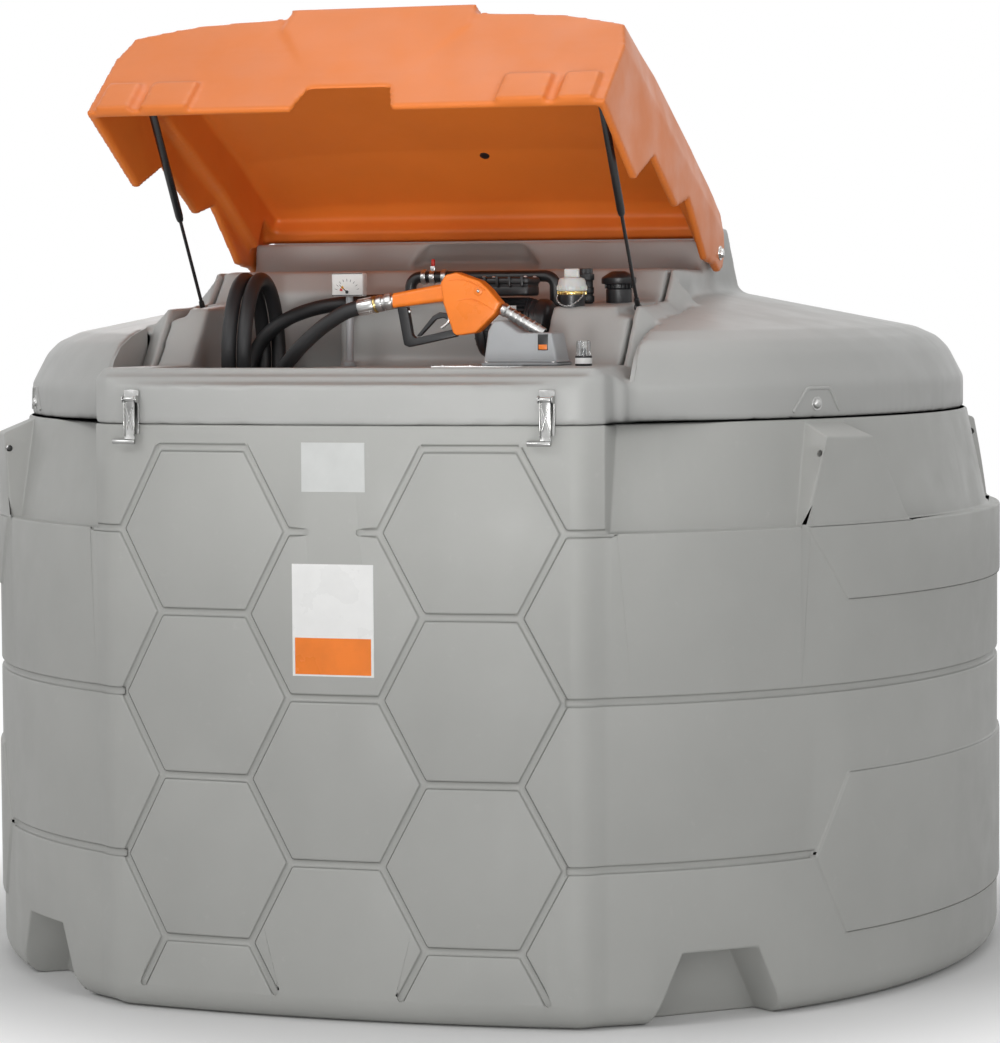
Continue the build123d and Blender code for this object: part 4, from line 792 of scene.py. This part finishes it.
class TANK_OT_struts(bpy.types.Operator):
    """Makes the two gas struts with their cylinders, rods and ball ends"""

    bl_idname = "tank.struts"
    bl_label = "Gas struts"

    def execute(self, context):
        for side, hand in ((-1, "left"), (1, "right")):
            head = strut_head + Vector((side * strut_x, 0, 0))
            cylinder = turned(
                (
                    (0, 0.012), (0.0062, 0.012), (0.0075, 0.014), (0.009, 0.019), (0.009, 0.296),
                    (0.0083, 0.3), (0.0083, 0.303), (0.0068, 0.309), (0.0048, 0.312), (0, 0.312)
                ),
                head, strut_axis, 28
            )
            eye = turned(
                (
                    (0, -0.0085), (0.006, -0.0085), (0.008, -0.006), (0.0085, 0), (0.008, 0.006),
                    (0.006, 0.0085), (0, 0.0085)
                ),
                head, (1, 0, 0), 24
            )
            neck = rod(head + strut_axis * 0.004, head + strut_axis * 0.016, 0.0055, 0.001)
            piece(
                f"strut_cylinder_{hand}", joined(cylinder, eye, neck), "strut", f"strut_body_{hand}",
                body=f"strut_body_{hand}"
            )
            foot = strut_foot + Vector((side * strut_x, 0, 0))
            rod_top = head + strut_axis * 0.291
            bar = rod(rod_top, foot - strut_axis * 0.012, 0.004, 0.0006, 20)
            socket = turned(
                (
                    (0, -0.0078), (0.0055, -0.0078), (0.0078, -0.005), (0.0078, 0.005), (0.0055, 0.0078),
                    (0, 0.0078)
                ),
                foot, (1, 0, 0), 24
            )
            collar = turned(
                ((0, 0), (0.0055, 0), (0.0062, 0.002), (0.0062, 0.016), (0.005, 0.0185), (0, 0.0185)),
                foot - strut_axis * 0.024, strut_axis, 20
            )
            piece(
                f"strut_piston_{hand}", joined(bar, socket, collar), "strut", f"strut_rod_{hand}",
                body=f"strut_rod_{hand}"
            )
            for node, body in ((f"strut_head_pin_{hand}", "lid"), (f"strut_foot_stud_{hand}", "tank")):
                piece(f"{node}_bright", round_edges(shape_from(node), 0.0008, 2), "steel", node, body=body)
        return {"FINISHED"}


# Turning pins of the latches: across, and their y and z
latch_x = 0.47
latch_pin = (-1.18673, 1.338)


class TANK_OT_latches(bpy.types.Operator):
    """Makes the two toggle latches: plates, crossed links, levers and rivets"""

    bl_idname = "tank.latches"
    bl_label = "Toggle latches"

    def execute(self, context):
        for side, hand in ((-1, "left"), (1, "right")):
            x = side * latch_x
            pin_y, pin_z = latch_pin
            base = round_edges(shape_from(f"latch_plate_{hand}"), 0.0007, 2)
            piece(f"latch_base_{hand}", base, "brushed", f"latch_plate_{hand}")
            lever = round_edges(shape_from(f"latch_lever_{hand}"), 0.0009, 2)
            fold = [
                plate(
                    [(-0.0125, -0.08), (-0.0105, -0.08), (-0.0105, -0.004), (-0.0125, -0.004)],
                    frame_at((x, pin_y - 0.0028, pin_z), (0, -1, 0)), 0.0045, 0.0006
                ),
                plate(
                    [(0.0105, -0.08), (0.0125, -0.08), (0.0125, -0.004), (0.0105, -0.004)],
                    frame_at((x, pin_y - 0.0028, pin_z), (0, -1, 0)), 0.0045, 0.0006
                ),
                rod((x - 0.0165, pin_y, pin_z), (x + 0.0165, pin_y, pin_z), 0.0027, 0.0005)
            ]
            for lean in (-1, 1):
                fold.append(
                    rod(
                        (x - lean * 0.0075, pin_y - 0.0042, pin_z - 0.018),
                        (x + lean * 0.0075, pin_y - 0.0042, pin_z - 0.066), 0.0017, 0.0004, 12
                    )
                )
            piece(
                f"latch_handle_{hand}", joined(lever, *fold), "brushed", f"latch_lever_{hand}",
                body=f"latch_{hand}"
            )
        return {"FINISHED"}


def disc_fins(radius, depth):
    return plate([(0, -0.0016), (depth, -0.001), (depth, 0.001), (0, 0.0016)], Matrix.Identity(4), radius)


# Axis of the pump's motor
motor_y, motor_z = (-0.68, 1.487)


class TANK_OT_pump(bpy.types.Operator):
    """Makes the pump: finned motor, cowl, head, terminal box, pipe, clamp, tray and name plate"""

    bl_idname = "tank.pump"
    bl_label = "Pump"

    def execute(self, context):
        axis = Vector((1, 0, 0))
        start = Vector((0.165, motor_y, motor_z))
        body = turned(
            (
                (0, 0.001), (0.024, 0.001), (0.026, 0.004), (0.056, 0.004), (0.064, 0.008), (0.068, 0.014),
                (0.068, 0.026), (0.0665, 0.028), (0.0585, 0.029), (0.0585, 0.118), (0.063, 0.119),
                (0.0635, 0.1229), (0, 0.1229)
            ),
            start, axis, 56
        )
        fins = ring_of(
            disc_fins(0.086, 0.008), sizes().fins, 0.057, start + axis * 0.031, (0, pi / 2, 0), "motor"
        )
        grille = ring_of(
            box((0, -0.0014, -0.0006), (0.026, 0.0014, 0.0022), 0.0004, 1), 18, 0.027, start + axis * 0.0035,
            (0, -pi / 2, 0), "motor"
        )
        feet = box((0.213, -0.735, 1.4052), (0.273, -0.625, 1.413), 0.002)
        legs = [box((0.219, y - 0.006, 1.4125), (0.267, y + 0.006, 1.448), 0.002) for y in (-0.72, -0.64)]
        piece("motor_housing", joined(body, fins, grille, feet, *legs), "motor", "pump_motor")
        head = turned(
            (
                (0, 0.0002), (0.0618, 0.0002), (0.062, 0.006), (0.059, 0.008), (0.059, 0.018), (0.0618, 0.02),
                (0.0618, 0.034), (0.058, 0.042), (0.048, 0.0495), (0.03, 0.0515), (0, 0.0515)
            ),
            (0.288, motor_y, motor_z), axis, 48
        )
        port = turned(
            (
                (0, 0), (0.019, 0), (0.019, 0.06), (0.0165, 0.062), (0.0165, 0.08), (0.019, 0.082),
                (0.019, 0.1045), (0, 0.1045)
            ),
            (0.314, motor_y, motor_z + 0.03), (0, 1, 0), 32
        )
        foot = box((0.294, -0.72, 1.4052), (0.33, -0.64, 1.4452), 0.003)
        piece("pump_body", joined(head, port, foot), "motor", "pump_head")
        low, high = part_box("terminal_box")
        split = low[2] + 0.024
        lower = box(
            (low[0] + 0.002, low[1] + 0.002, low[2] + 0.0002), (high[0] - 0.002, high[1] - 0.002, split),
            0.006, 3
        )
        lidded = box((low[0], low[1], split + 0.0012), (high[0], high[1], high[2]), 0.007, 4)
        core = box(
            (low[0] + 0.004, low[1] + 0.004, split - 0.006), (high[0] - 0.004, high[1] - 0.004, split + 0.006)
        )
        ridges = grown(
            row_tree(),
            {
                "Item": box((-0.003, -0.004, -0.012), (0.003, 0.0015, 0.01), 0.0012, 2), "Count": 4,
                "Start": Vector((low[0] + 0.016, low[1], (split + high[2]) / 2)),
                "Step": Vector((0.0287, 0, 0)), "Finish": made["black"]
            }
        )
        piece("switch_box", joined(lower, lidded, core, ridges), "black", "terminal_box")
        name_plate = box((0.196, motor_y - 0.0715, 1.494), (0.272, motor_y - 0.07, 1.534), 0.0006)
        bracket = box((0.204, motor_y - 0.0702, 1.5), (0.264, motor_y - 0.052, 1.528), 0.001)
        piece("motor_plate", joined(name_plate, bracket), "foil")
        pipe = round_edges(shape_from("pump_pipe"), 0.0006, 1)
        piece("suction_pipe", pipe, "black", "pump_pipe")
        union = [
            turned(
                (
                    (0.0131, 0), (0.0165, 0), (0.0172, 0.002), (0.0172, 0.009), (0.0165, 0.011),
                    (0.0131, 0.011)
                ),
                (x, -0.588, 1.6), (1, 0, 0), 28
            ) for x in (-0.002, 0.046)
        ]
        strap = turned(
            ((0.0131, 0), (0.0152, 0), (0.0156, 0.001), (0.0156, 0.011), (0.0152, 0.012), (0.0131, 0.012)),
            (0.018, -0.588, 1.6), (1, 0, 0), 32
        )
        lug = box((0.0185, -0.5925, 1.6145), (0.0295, -0.5835, 1.6245), 0.0012)
        piece("pipe_clamp", joined(strap, lug, *union), "steel", "hose_clamp")
        knob = upright(
            ((0, 0.016), (0.003, 0.0155), (0.0046, 0.013), (0.0046, 0.004), (0.0035, 0), (0, -0.002)),
            (0.024, -0.588, 1.6245), 16
        )
        piece("clamp_knob", knob, "red", slot="black_plastic")
        piece(
            "pump_tray_sheet", round_edges(shape_from("pump_tray"), 0.0012, 2), "steel", "pump_tray",
            slot="stainless"
        )
        screws = [
            (
                Vector((x, y, high[2] + 0.0002)), (0, 0, 1)
            ) for x in (low[0] + 0.011, high[0] - 0.011) for y in (low[1] + 0.011, high[1] - 0.011)
        ]
        screws += [(Vector((x, -0.97, 1.4052)), (0, 0, 1)) for x in (0.172, 0.235)]
        put_heads("pump_screws", button_head(0.0042), screws)
        return {"FINISHED"}


# Middle plane of the nozzle, and its ends in that plane
nozzle_y = -0.924
grip_end = Vector((0.048, nozzle_y, 1.547))
grip_out = Vector((-cos(radians(10.5)), 0, -sin(radians(10.5))))
spout_root = Vector((0.29, nozzle_y, 1.53))
spout_tip = Vector((0.388, nozzle_y, 1.474))


class TANK_OT_nozzle(bpy.types.Operator):
    """Makes the fuelling nozzle: cover, guard, trigger, ribbed spout and swivel"""

    bl_idname = "tank.nozzle"
    bl_label = "Nozzle"

    def execute(self, context):
        cover = round_edges(shape_from("nozzle_body"), 0.0045, 4)
        front = nozzle_y - 0.023
        ridge = tube(
            [
                (0.178, front + 0.0005, 1.59), (0.206, front - 0.0005, 1.594), (0.236, front - 0.0005, 1.584),
                (0.262, front, 1.568)
            ],
            0.0016, 8
        )
        seam = tube(
            [
                (0.196, front + 0.001, 1.545), (0.222, front - 0.0004, 1.552), (0.246, front - 0.0004, 1.545),
                (0.268, front, 1.532), (0.284, front + 0.001, 1.524)
            ],
            0.0014, 8
        )
        blister = turned(
            ((0, 0.0022), (0.006, 0.002), (0.0095, 0.0008), (0.011, -0.001), (0, -0.001)),
            (0.247, front, 1.566), (0, -1, 0), 24
        )
        panel = plate(
            [(0.07, 1.5505), (0.152, 1.5655), (0.152, 1.5745), (0.07, 1.5595)],
            Matrix(((1, 0, 0, 0), (0, 0, -1, front + 0.0085), (0, 1, 0, 0), (0, 0, 0, 1))), 0.0014, 0.0006
        )
        piece("nozzle_shell", joined(cover, ridge, seam, blister, panel), "nozzle", "nozzle_body")
        piece("guard_bar", round_edges(shape_from("nozzle_guard"), 0.0028, 3), "black", "nozzle_guard")
        piece("trigger_arm", round_edges(shape_from("nozzle_trigger"), 0.0022, 3), "black", "nozzle_trigger")
        tip = tube(
            [
                (0.176, -0.9335, 1.512), (0.177, -0.9345, 1.503), (0.17, -0.9345, 1.494),
                (0.158, -0.934, 1.487)
            ],
            0.0036, 12
        )
        piece("trigger_catch", tip, "steel")
        along = (spout_tip - spout_root).normalized()
        length = (spout_tip - spout_root).length
        sleeve = turned(
            (
                (0.0085, 0.004), (0.0135, 0.004), (0.0145, 0.006), (0.0145, 0.016), (0.012, 0.019),
                (0.0118, length - 0.003), (0.011, length), (0.0098, length), (0.0098, 0.03), (0.0085, 0.03),
                (0.0085, 0.004)
            ),
            spout_root, along, 36
        )
        rib = turned(
            ((0.0112, -0.0024), (0.0132, -0.002), (0.0138, 0), (0.0132, 0.002), (0.0112, 0.0024)), (0, 0, 0),
            along, 28
        )
        gap = (length - 0.034) / sizes().ribs
        ribs = grown(
            row_tree(),
            {
                "Item": rib, "Count": sizes().ribs, "Start": spout_root + along * 0.03, "Step": along * gap,
                "Finish": made["steel"]
            }
        )
        piece("spout_sleeve", joined(sleeve, ribs), "steel", "nozzle_spout")
        swivel = turned(
            (
                (0, -0.004), (0.0135, -0.004), (0.0135, 0.004), (0.0172, 0.005), (0.018, 0.007),
                (0.018, 0.02), (0.0165, 0.022), (0.015, 0.0225), (0.015, 0.027), (0.018, 0.028),
                (0.0184, 0.03), (0.0184, 0.038), (0.0176, 0.04), (0.015, 0.041), (0.015, 0.047),
                (0.0178, 0.048), (0.0184, 0.05), (0.0184, 0.083), (0.0176, 0.0842), (0, 0.0842)
            ),
            grip_end, grip_out, 44
        )
        crimp = ring_of(
            box((-0.0005, -0.0016, 0), (0.0007, 0.0016, 0.03), 0.0003, 1), 16, 0.0182,
            grip_end + grip_out * 0.0515, grip_out.to_track_quat("Z", "Y").to_euler(), "steel"
        )
        nut = plate(
            [(0.0192 * cos(k * pi / 3), 0.0192 * sin(k * pi / 3)) for k in range(6)],
            frame_at(grip_end + grip_out * 0.006, grip_out), 0.012, 0.0008
        )
        piece("hose_swivel_body", joined(swivel, crimp, nut), "steel", "hose_swivel")
        ring = turned(
            ((0.015, 0), (0.0186, 0), (0.019, 0.001), (0.019, 0.0032), (0.0186, 0.0042), (0.015, 0.0042)),
            grip_end + grip_out * 0.0425, grip_out, 36
        )
        piece("swivel_ring", ring, "brass")
        bolts = [
            (Vector((x, front + lift, z)), (0, -1, 0)) for x, z,
            lift in ((0.2475, 1.566, -0.0022), (0.0855, 1.5225, 0.0128))
        ]
        put_heads("nozzle_screws", button_head(0.0036), bolts)
        return {"FINISHED"}


class TANK_OT_holder(bpy.types.Operator):
    """Makes the moulded nozzle holder with its flange and window"""

    bl_idname = "tank.holder"
    bl_label = "Nozzle holder"

    def execute(self, context):
        shell = round_edges(shape_from("nozzle_holder"), 0.0055, 4)
        low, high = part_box("nozzle_holder")
        front = low[1]
        rib = box(
            (low[0] + 0.012, front + 0.0055, low[2] + 0.0075),
            (high[0] - 0.012, front + 0.012, low[2] + 0.013), 0.002
        )
        piece("holder_shell", joined(shell, rib), "holder", "nozzle_holder")
        face = front + 0.008
        frame_piece = box((0.3885, face - 0.0008, 1.438), (0.4115, face + 0.004, 1.4725), 0.0008)
        piece("holder_window", frame_piece, "black")
        flag = box((0.3905, face - 0.0014, 1.44), (0.4095, face + 0.002, 1.4505), 0.0005)
        piece("holder_flag", flag, "nozzle")
        spots = [(Vector((x, front + 0.0045, low[2] + 0.008)), (0, 0, 1)) for x in (0.274, 0.424)]
        put_heads("holder_screws", button_head(0.004), spots)
        return {"FINISHED"}


class TANK_OT_gauge(bpy.types.Operator):
    """Makes the level gauge with its dial, ticks and needle"""

    bl_idname = "tank.gauge"
    bl_label = "Level gauge"

    def execute(self, context):
        centre = Vector((-0.16, -0.64, 1.584))
        front = centre.y - 0.016
        case = box(
            (centre.x - 0.038, front, centre.z - 0.027),
            (centre.x + 0.038, centre.y + 0.016, centre.z + 0.027), 0.005, 4
        )
        piece("gauge_case", case, "white", "level_gauge")
        stem = upright(
            (
                (0, 1.3982), (0.015, 1.3982), (0.016, 1.4), (0.016, 1.408), (0.0085, 1.411), (0.0085, 1.5575),
                (0, 1.5575)
            ),
            (centre.x, centre.y, 0), 32
        )
        piece("gauge_stem", stem, "holder")
        hub = Vector((centre.x, front - 0.0009, centre.z - 0.017))
        turn = Matrix.Rotation(pi / 2, 4, "X").to_euler()
        ticks = ring_of(
            box((0, -0.0004, 0), (0.006, 0.0004, 0.0007)), sizes().ticks, 0.024, hub, turn, "black",
            start=radians(14), sweep=radians(171)
        )
        needle = plate(
            [(-0.0012, -0.003), (0.0012, -0.003), (0.0004, 0.024), (-0.0004, 0.024)],
            Matrix.Translation(hub) @ Matrix.Rotation(pi / 2, 4, "X") @ Matrix.Rotation(radians(48), 4, "Z"),
            0.0009
        )
        boss = turned(
            ((0, 0.003), (0.003, 0.0026), (0.0038, 0.001), (0.0038, 0), (0, 0)), hub, (0, -1, 0), 20
        )
        rim = [
            box(
                (centre.x - 0.036, front - 0.0008, centre.z + z - 0.0008),
                (centre.x + 0.036, front + 0.001, centre.z + z + 0.0008)
            ) for z in (-0.0245, 0.0245)
        ]
        piece("gauge_marks", joined(ticks, needle, boss, *rim), "black")
        for name, start, end, paint in (
            ("gauge_low", 150, 172, "red"), ("gauge_reserve", 126, 148, "yellow")
        ):
            outline = [
                (r * cos(radians(a)), r * sin(radians(a)))
                for r, run in ((0.018, range(start, end + 1, 4)), (0.0115, range(end, start - 1, -4)))
                for a in run
            ]
            zone = plate(outline, Matrix.Translation(hub) @ Matrix.Rotation(pi / 2, 4, "X"), 0.0006)
            piece(name, zone, paint)
        return {"FINISHED"}


class TANK_OT_filler(bpy.types.Operator):
    """Makes the filler: black cup, brass ring, translucent cap and its chain"""

    bl_idname = "tank.filler"
    bl_label = "Filler and cap"

    def execute(self, context):
        at = Vector((0.396, -0.735, 0))
        cup = upright(
            (
                (0, 1.534), (0.024, 1.534), (0.026, 1.54), (0.026, 1.5568), (0.03, 1.5568), (0.03, 1.546),
                (0.0285, 1.54), (0.0285, 1.5295), (0, 1.5295)
            ),
            at, 40
        )
        piece("filler_socket", cup, "black", "filler_cup")
        ring = upright(
            (
                (0.02, 1.5572), (0.0295, 1.5572), (0.0302, 1.559), (0.0302, 1.5632), (0.0295, 1.5648),
                (0.02, 1.5648), (0.02, 1.5572)
            ),
            at, 40
        )
        lugs = ring_of(
            box((-0.002, -0.003, 0), (0.0025, 0.003, 0.0078), 0.0008, 2), 10, 0.03,
            Vector((at.x, at.y, 1.5571)), (0, 0, 0), "brass", start=0.2
        )
        piece("filler_collar", joined(ring, lugs), "brass", "filler_ring")
        cap = upright(
            (
                (0, 1.5655), (0.0318, 1.5655), (0.033, 1.568), (0.0325, 1.578), (0.0312, 1.58), (0.03, 1.588),
                (0.0265, 1.5935), (0.018, 1.5955), (0, 1.596)
            ),
            at, 48
        )
        knurls = ring_of(
            box((-0.0015, -0.0013, 0), (0.0012, 0.0013, 0.0095), 0.0005, 2), 30, 0.0327,
            Vector((at.x, at.y, 1.5672)), (0, 0, 0), "cap"
        )
        grip = box((at.x - 0.017, at.y - 0.0045, 1.59), (at.x + 0.017, at.y + 0.0045, 1.6148), 0.0035, 4)
        piece("filler_lid", joined(cap, knurls, grip), "cap", "filler_cap")
        link = tube(
            [(0.0016 * cos(t), 0, 0.003 * sin(t)) for t in [k * pi / 4 for k in range(9)]], 0.00055, 8, 3
        )
        sag = line_of(
            [
                (0.3665, -0.741, 1.561), (0.368, -0.768, 1.548), (0.381, -0.776, 1.536),
                (0.397, -0.776, 1.53), (0.413, -0.772, 1.538), (0.4245, -0.757, 1.55), (0.4255, -0.741, 1.561)
            ]
        )
        chain = grown(chain_tree(), {"Item": link, "Spacing": 0.0044, "Finish": made["steel"]}, sag)
        piece("filler_chain", chain, "steel")
        return {"FINISHED"}


class TANK_OT_vents(bpy.types.Operator):
    """Makes the vent tee and the mushroom vent cap"""

    bl_idname = "tank.vents"
    bl_label = "Vent tee and cap"

    def execute(self, context):
        tee = round_edges(shape_from("vent_tee"), 0.0016, 2)
        stub = upright(
            ((0, 0), (0.0085, 0), (0.009, 0.001), (0.009, 0.006), (0.0075, 0.0075), (0, 0.0075)),
            (0.398, -0.628, 1.6072), 20
        )
        piece("vent_union", joined(tee, stub), "black", "vent_tee")
        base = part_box("vent_cap")[0][2]
        profile = (
            (0, base), (0.029, base), (0.029, base + 0.03), (0.026, base + 0.033), (0.026, base + 0.041),
            (0.0375, base + 0.0425), (0.039, base + 0.045), (0.039, base + 0.0555), (0.037, base + 0.058),
            (0.022, base + 0.0675), (0.014, base + 0.0712), (0, base + 0.0714)
        )
        cap = upright(profile, (0.463, -0.59, 0), 48)
        vanes = ring_of(
            box((-0.004, -0.0014, 0), (0.0028, 0.0014, 0.0095), 0.0004, 1), 18, 0.029,
            Vector((0.463, -0.59, base + 0.0325)), (0, 0, 0), "black"
        )
        piece("vent_mushroom", joined(cap, vanes), "black", "vent_cap")
        return {"FINISHED"}


class TANK_OT_sight_glass(bpy.types.Operator):
    """Makes the sight glass: black foot, blank white band and clear tube"""

    bl_idname = "tank.sight_glass"
    bl_label = "Sight glass"

    def execute(self, context):
        at = Vector((0.496, -0.99, 0))
        foot = upright(
            ((0, 1.4052), (0.0172, 1.4052), (0.018, 1.4066), (0.018, 1.4262), (0.0172, 1.427), (0, 1.427)),
            at, 40
        )
        inner = upright(((0, 1.4272), (0.0062, 1.4272), (0.0062, 1.44), (0.0055, 1.442), (0, 1.4425)), at, 24)
        piece("sight_foot", joined(foot, inner), "black")
        band = upright(((0.0181, 1.4098), (0.0184, 1.4098), (0.0184, 1.4222), (0.0181, 1.4222)), at, 40)
        piece("sight_band", band, "label")
        clear = upright(
            (
                (0.008, 1.4272), (0.015, 1.4272), (0.015, 1.456), (0.0138, 1.4588), (0.009, 1.459),
                (0.008, 1.458), (0.008, 1.4272)
            ),
            at, 40
        )
        piece("sight_tube", clear, "glass", "sight_glass")
        return {"FINISHED"}


class TANK_OT_fixings(bpy.types.Operator):
    """Puts the cover's screws, their raised surrounds and the blank plates on the tank"""

    bl_idname = "tank.fixings"
    bl_label = "Cover screws and plates"

    def execute(self, context):
        cover = surface("top_cover")
        body = surface("outer_tank")
        spots, arches = ([], [])
        for sx in (-1, 1):
            for sy in (-1, 1):
                outwards = Vector((sx * 0.83, sy * 0.56, 0))
                along = Vector((-outwards.y, outwards.x, 0)).normalized()
                place, normal = seat(
                    cover, Vector((sx * 1.005, sy * 0.716, 1.316)) + outwards * 0.5, -outwards
                )
                spots.append((place, normal))
                lines = []
                for reach, height in ((-0.074, 1.299), (-0.04, 1.35), (0.03, 1.35), (0.072, 1.299)):
                    start = Vector(
                        (sx * 1.005, sy * 0.716, height)
                    ) + along * (reach * sx * sy) + outwards * 0.5
                    lines.append(seat(cover, start, -outwards)[0])
                dense = []
                for first, second in zip(lines, lines[1:]):
                    for part in range(5):
                        middle = first.lerp(second, part / 5)
                        dense.append(seat(cover, middle + outwards * 0.3, -outwards)[0])
                dense.append(lines[-1])
                arches.append(tube(dense, 0.0042, 12, 2))
        put_heads("cover_screws", button_head(sizes().screw / 2, sizes().screw * 0.72), spots)
        piece("screw_surrounds", joined(*arches), "cover")
        for name, x, z, width, height, paint in (
            ("type_plate", 0.0025, 1.1945, 0.143, 0.105, "foil"),
            ("front_label", -0.001, 0.868, 0.184, 0.24, "label"),
            ("front_label_foot", -0.001, 0.791, 0.172, 0.078, "nozzle")
        ):
            rows, columns = (9, 13)
            bm = bmesh.new()
            grid = []
            for row in range(rows):
                for column in range(columns):
                    px = x - width / 2 + width * column / (columns - 1)
                    pz = z - height / 2 + height * row / (rows - 1)
                    place, _ = seat(body, (px, -1.6, pz), (0, 1, 0))
                    lift = 0.0016 if name.endswith("foot") else 0.001
                    grid.append(bm.verts.new((px, place.y - lift, pz)))
            faces = [
                bm.faces.new(
                    (
                        grid[r * columns + c], grid[r * columns + c + 1], grid[(r + 1) * columns + c + 1],
                        grid[(r + 1) * columns + c]
                    )
                ) for r in range(rows - 1) for c in range(columns - 1)
            ]
            lifted = bmesh.ops.extrude_face_region(bm, geom=faces)
            back = [item for item in lifted["geom"] if isinstance(item, bmesh.types.BMVert)]
            bmesh.ops.translate(bm, vec=(0, 0.0022, 0), verts=back)
            piece(name, bm, paint)
        return {"FINISHED"}


class TANK_OT_stage(bpy.types.Operator):
    """Lays the pale floor and sets the soft studio light"""

    bl_idname = "tank.stage"
    bl_label = "Stage"

    def execute(self, context):
        bm = bmesh.new()
        bmesh.ops.create_circle(bm, cap_ends=True, radius=40, segments=96)
        mesh = bpy.data.meshes.new("floor")
        bm.to_mesh(mesh)
        bm.free()
        floor = bpy.data.objects.new("floor", mesh)
        context.scene.collection.objects.link(floor)
        mesh.materials.append(self.floor_finish())
        self.sky(context)
        for name, place, target, size, power in (
            ("key", (-4.2, -7.5, 6.2), (0, 0, 1.1), (4.0, 3.0), 165),
            ("fill", (6.5, -6.0, 4.5), (0.3, 0, 1.0), (3.5, 3.5), 90),
            ("top", (0.5, 0.5, 7.5), (0, 0, 0), (5.0, 5.0), 110),
            ("back", (-3.0, 6.5, 5.0), (0, 0, 1.5), (3.0, 3.0), 60),
            ("front", (1.6, -7.0, 0.9), (0.1, -0.2, 1.8), (4.0, 1.6), 55)
        ):
            lamp = bpy.data.lights.new(name, "AREA")
            lamp.shape = "RECTANGLE"
            lamp.size, lamp.size_y = size
            lamp.energy = power
            self.hang(context, lamp, place, target)
        spot = bpy.data.lights.new("bay", "SPOT")
        spot.energy = 720
        spot.spot_size = radians(18)
        spot.spot_blend = 0.9
        spot.shadow_soft_size = 0.7
        self.hang(context, spot, (1.3, -6.0, 0.9), (-0.05, -0.5, 1.93))
        context.scene.view_settings.view_transform = "Standard"
        return {"FINISHED"}

    @staticmethod
    def hang(context, lamp, place, target):
        """Puts a lamp at a place and aims it."""
        holder = bpy.data.objects.new(lamp.name, lamp)
        context.scene.collection.objects.link(holder)
        aim = (Vector(target) - Vector(place)).to_track_quat("-Z", "Y")
        holder.matrix_world = Matrix.Translation(place) @ aim.to_matrix().to_4x4()

    @staticmethod
    def floor_finish():
        """Pale floor that keeps the object's shadow and fades to white further out."""
        material = bpy.data.materials.new("pale_floor")
        material.use_nodes = True
        tree = material.node_tree
        matt = tree.nodes["Principled BSDF"]
        feed(tree, matt, {"Base Color": (0.86, 0.86, 0.86, 1), "Roughness": 0.9, "Specular IOR Level": 0.1})
        white = add(tree, "ShaderNodeEmission", {"Color": (1, 1, 1, 1)})
        place = add(tree, "ShaderNodeTexCoord").outputs["Object"]
        reach = add(tree, "ShaderNodeVectorMath", {0: place}, operation="LENGTH").outputs["Value"]
        feeds = {"From Min": 1.25, "From Max": 2.1, "Value": reach}
        fade = add(tree, "ShaderNodeMapRange", feeds, interpolation_type="SMOOTHSTEP")
        path = add(tree, "ShaderNodeLightPath").outputs
        seen = maths(tree, "ADD", path["Is Camera Ray"], path["Is Transmission Ray"], clamp=True)
        share = maths(tree, "MULTIPLY", fade.outputs["Result"], seen)
        mix = add(
            tree, "ShaderNodeMixShader", {0: share, 1: matt.outputs["BSDF"], 2: white.outputs["Emission"]}
        )
        feed(tree, tree.nodes["Material Output"], {"Surface": mix.outputs["Shader"]})
        return material

    @staticmethod
    def sky(context):
        """White behind the object, and an even, softer light on it."""
        world = bpy.data.worlds.new("studio")
        world.use_nodes = True
        context.scene.world = world
        tree = world.node_tree
        lit = tree.nodes["Background"]
        feed(tree, lit, {"Color": (1, 1, 1, 1), "Strength": 0.4})
        white = add(tree, "ShaderNodeBackground", {"Color": (1, 1, 1, 1), "Strength": 1.0})
        path = add(tree, "ShaderNodeLightPath").outputs
        seen = path["Is Camera Ray"]
        for ray in ("Is Glossy Ray", "Is Transmission Ray"):
            seen = maths(tree, "ADD", seen, path[ray], clamp=True)
        backs = {0: seen, 1: lit.outputs["Background"], 2: white.outputs["Background"]}
        mix = add(tree, "ShaderNodeMixShader", backs)
        feed(tree, tree.nodes["World Output"], {"Surface": mix.outputs["Shader"]})


OPERATORS = (
    TANK_OT_camera, TANK_OT_hose, TANK_OT_shells, TANK_OT_lid, TANK_OT_hinges, TANK_OT_struts,
    TANK_OT_latches, TANK_OT_pump, TANK_OT_nozzle, TANK_OT_holder, TANK_OT_gauge, TANK_OT_filler,
    TANK_OT_vents, TANK_OT_sight_glass, TANK_OT_fixings, TANK_OT_stage
)


class TANK_PT_panel(bpy.types.Panel):
    """Lists the tank's building steps, sizes and colours"""

    bl_idname = "TANK_PT_panel"
    bl_label = "Bunded Diesel Tank"
    bl_space_type = "VIEW_3D"
    bl_region_type = "UI"
    bl_category = "Tank"

    def draw(self, context):
        for group in (context.scene.tank_sizes, context.scene.tank_colours):
            for key in group.__annotations__:
                self.layout.prop(group, key)
        for operator in OPERATORS:
            self.layout.operator(operator.bl_idname)


CLASSES = (TankColours, TankSizes, *OPERATORS, TANK_PT_panel)


def register():
    for item in CLASSES:
        bpy.utils.register_class(item)
    bpy.types.Scene.tank_colours = bpy.props.PointerProperty(type=TankColours)
    bpy.types.Scene.tank_sizes = bpy.props.PointerProperty(type=TankSizes)


def unregister():
    del bpy.types.Scene.tank_sizes
    del bpy.types.Scene.tank_colours
    for item in reversed(CLASSES):
        bpy.utils.unregister_class(item)


def main():
    register()
    make_finishes()
    for operator in OPERATORS:
        group, name = operator.bl_idname.split(".")
        getattr(getattr(bpy.ops, group), name)()


if __name__ == "__main__":
    main()
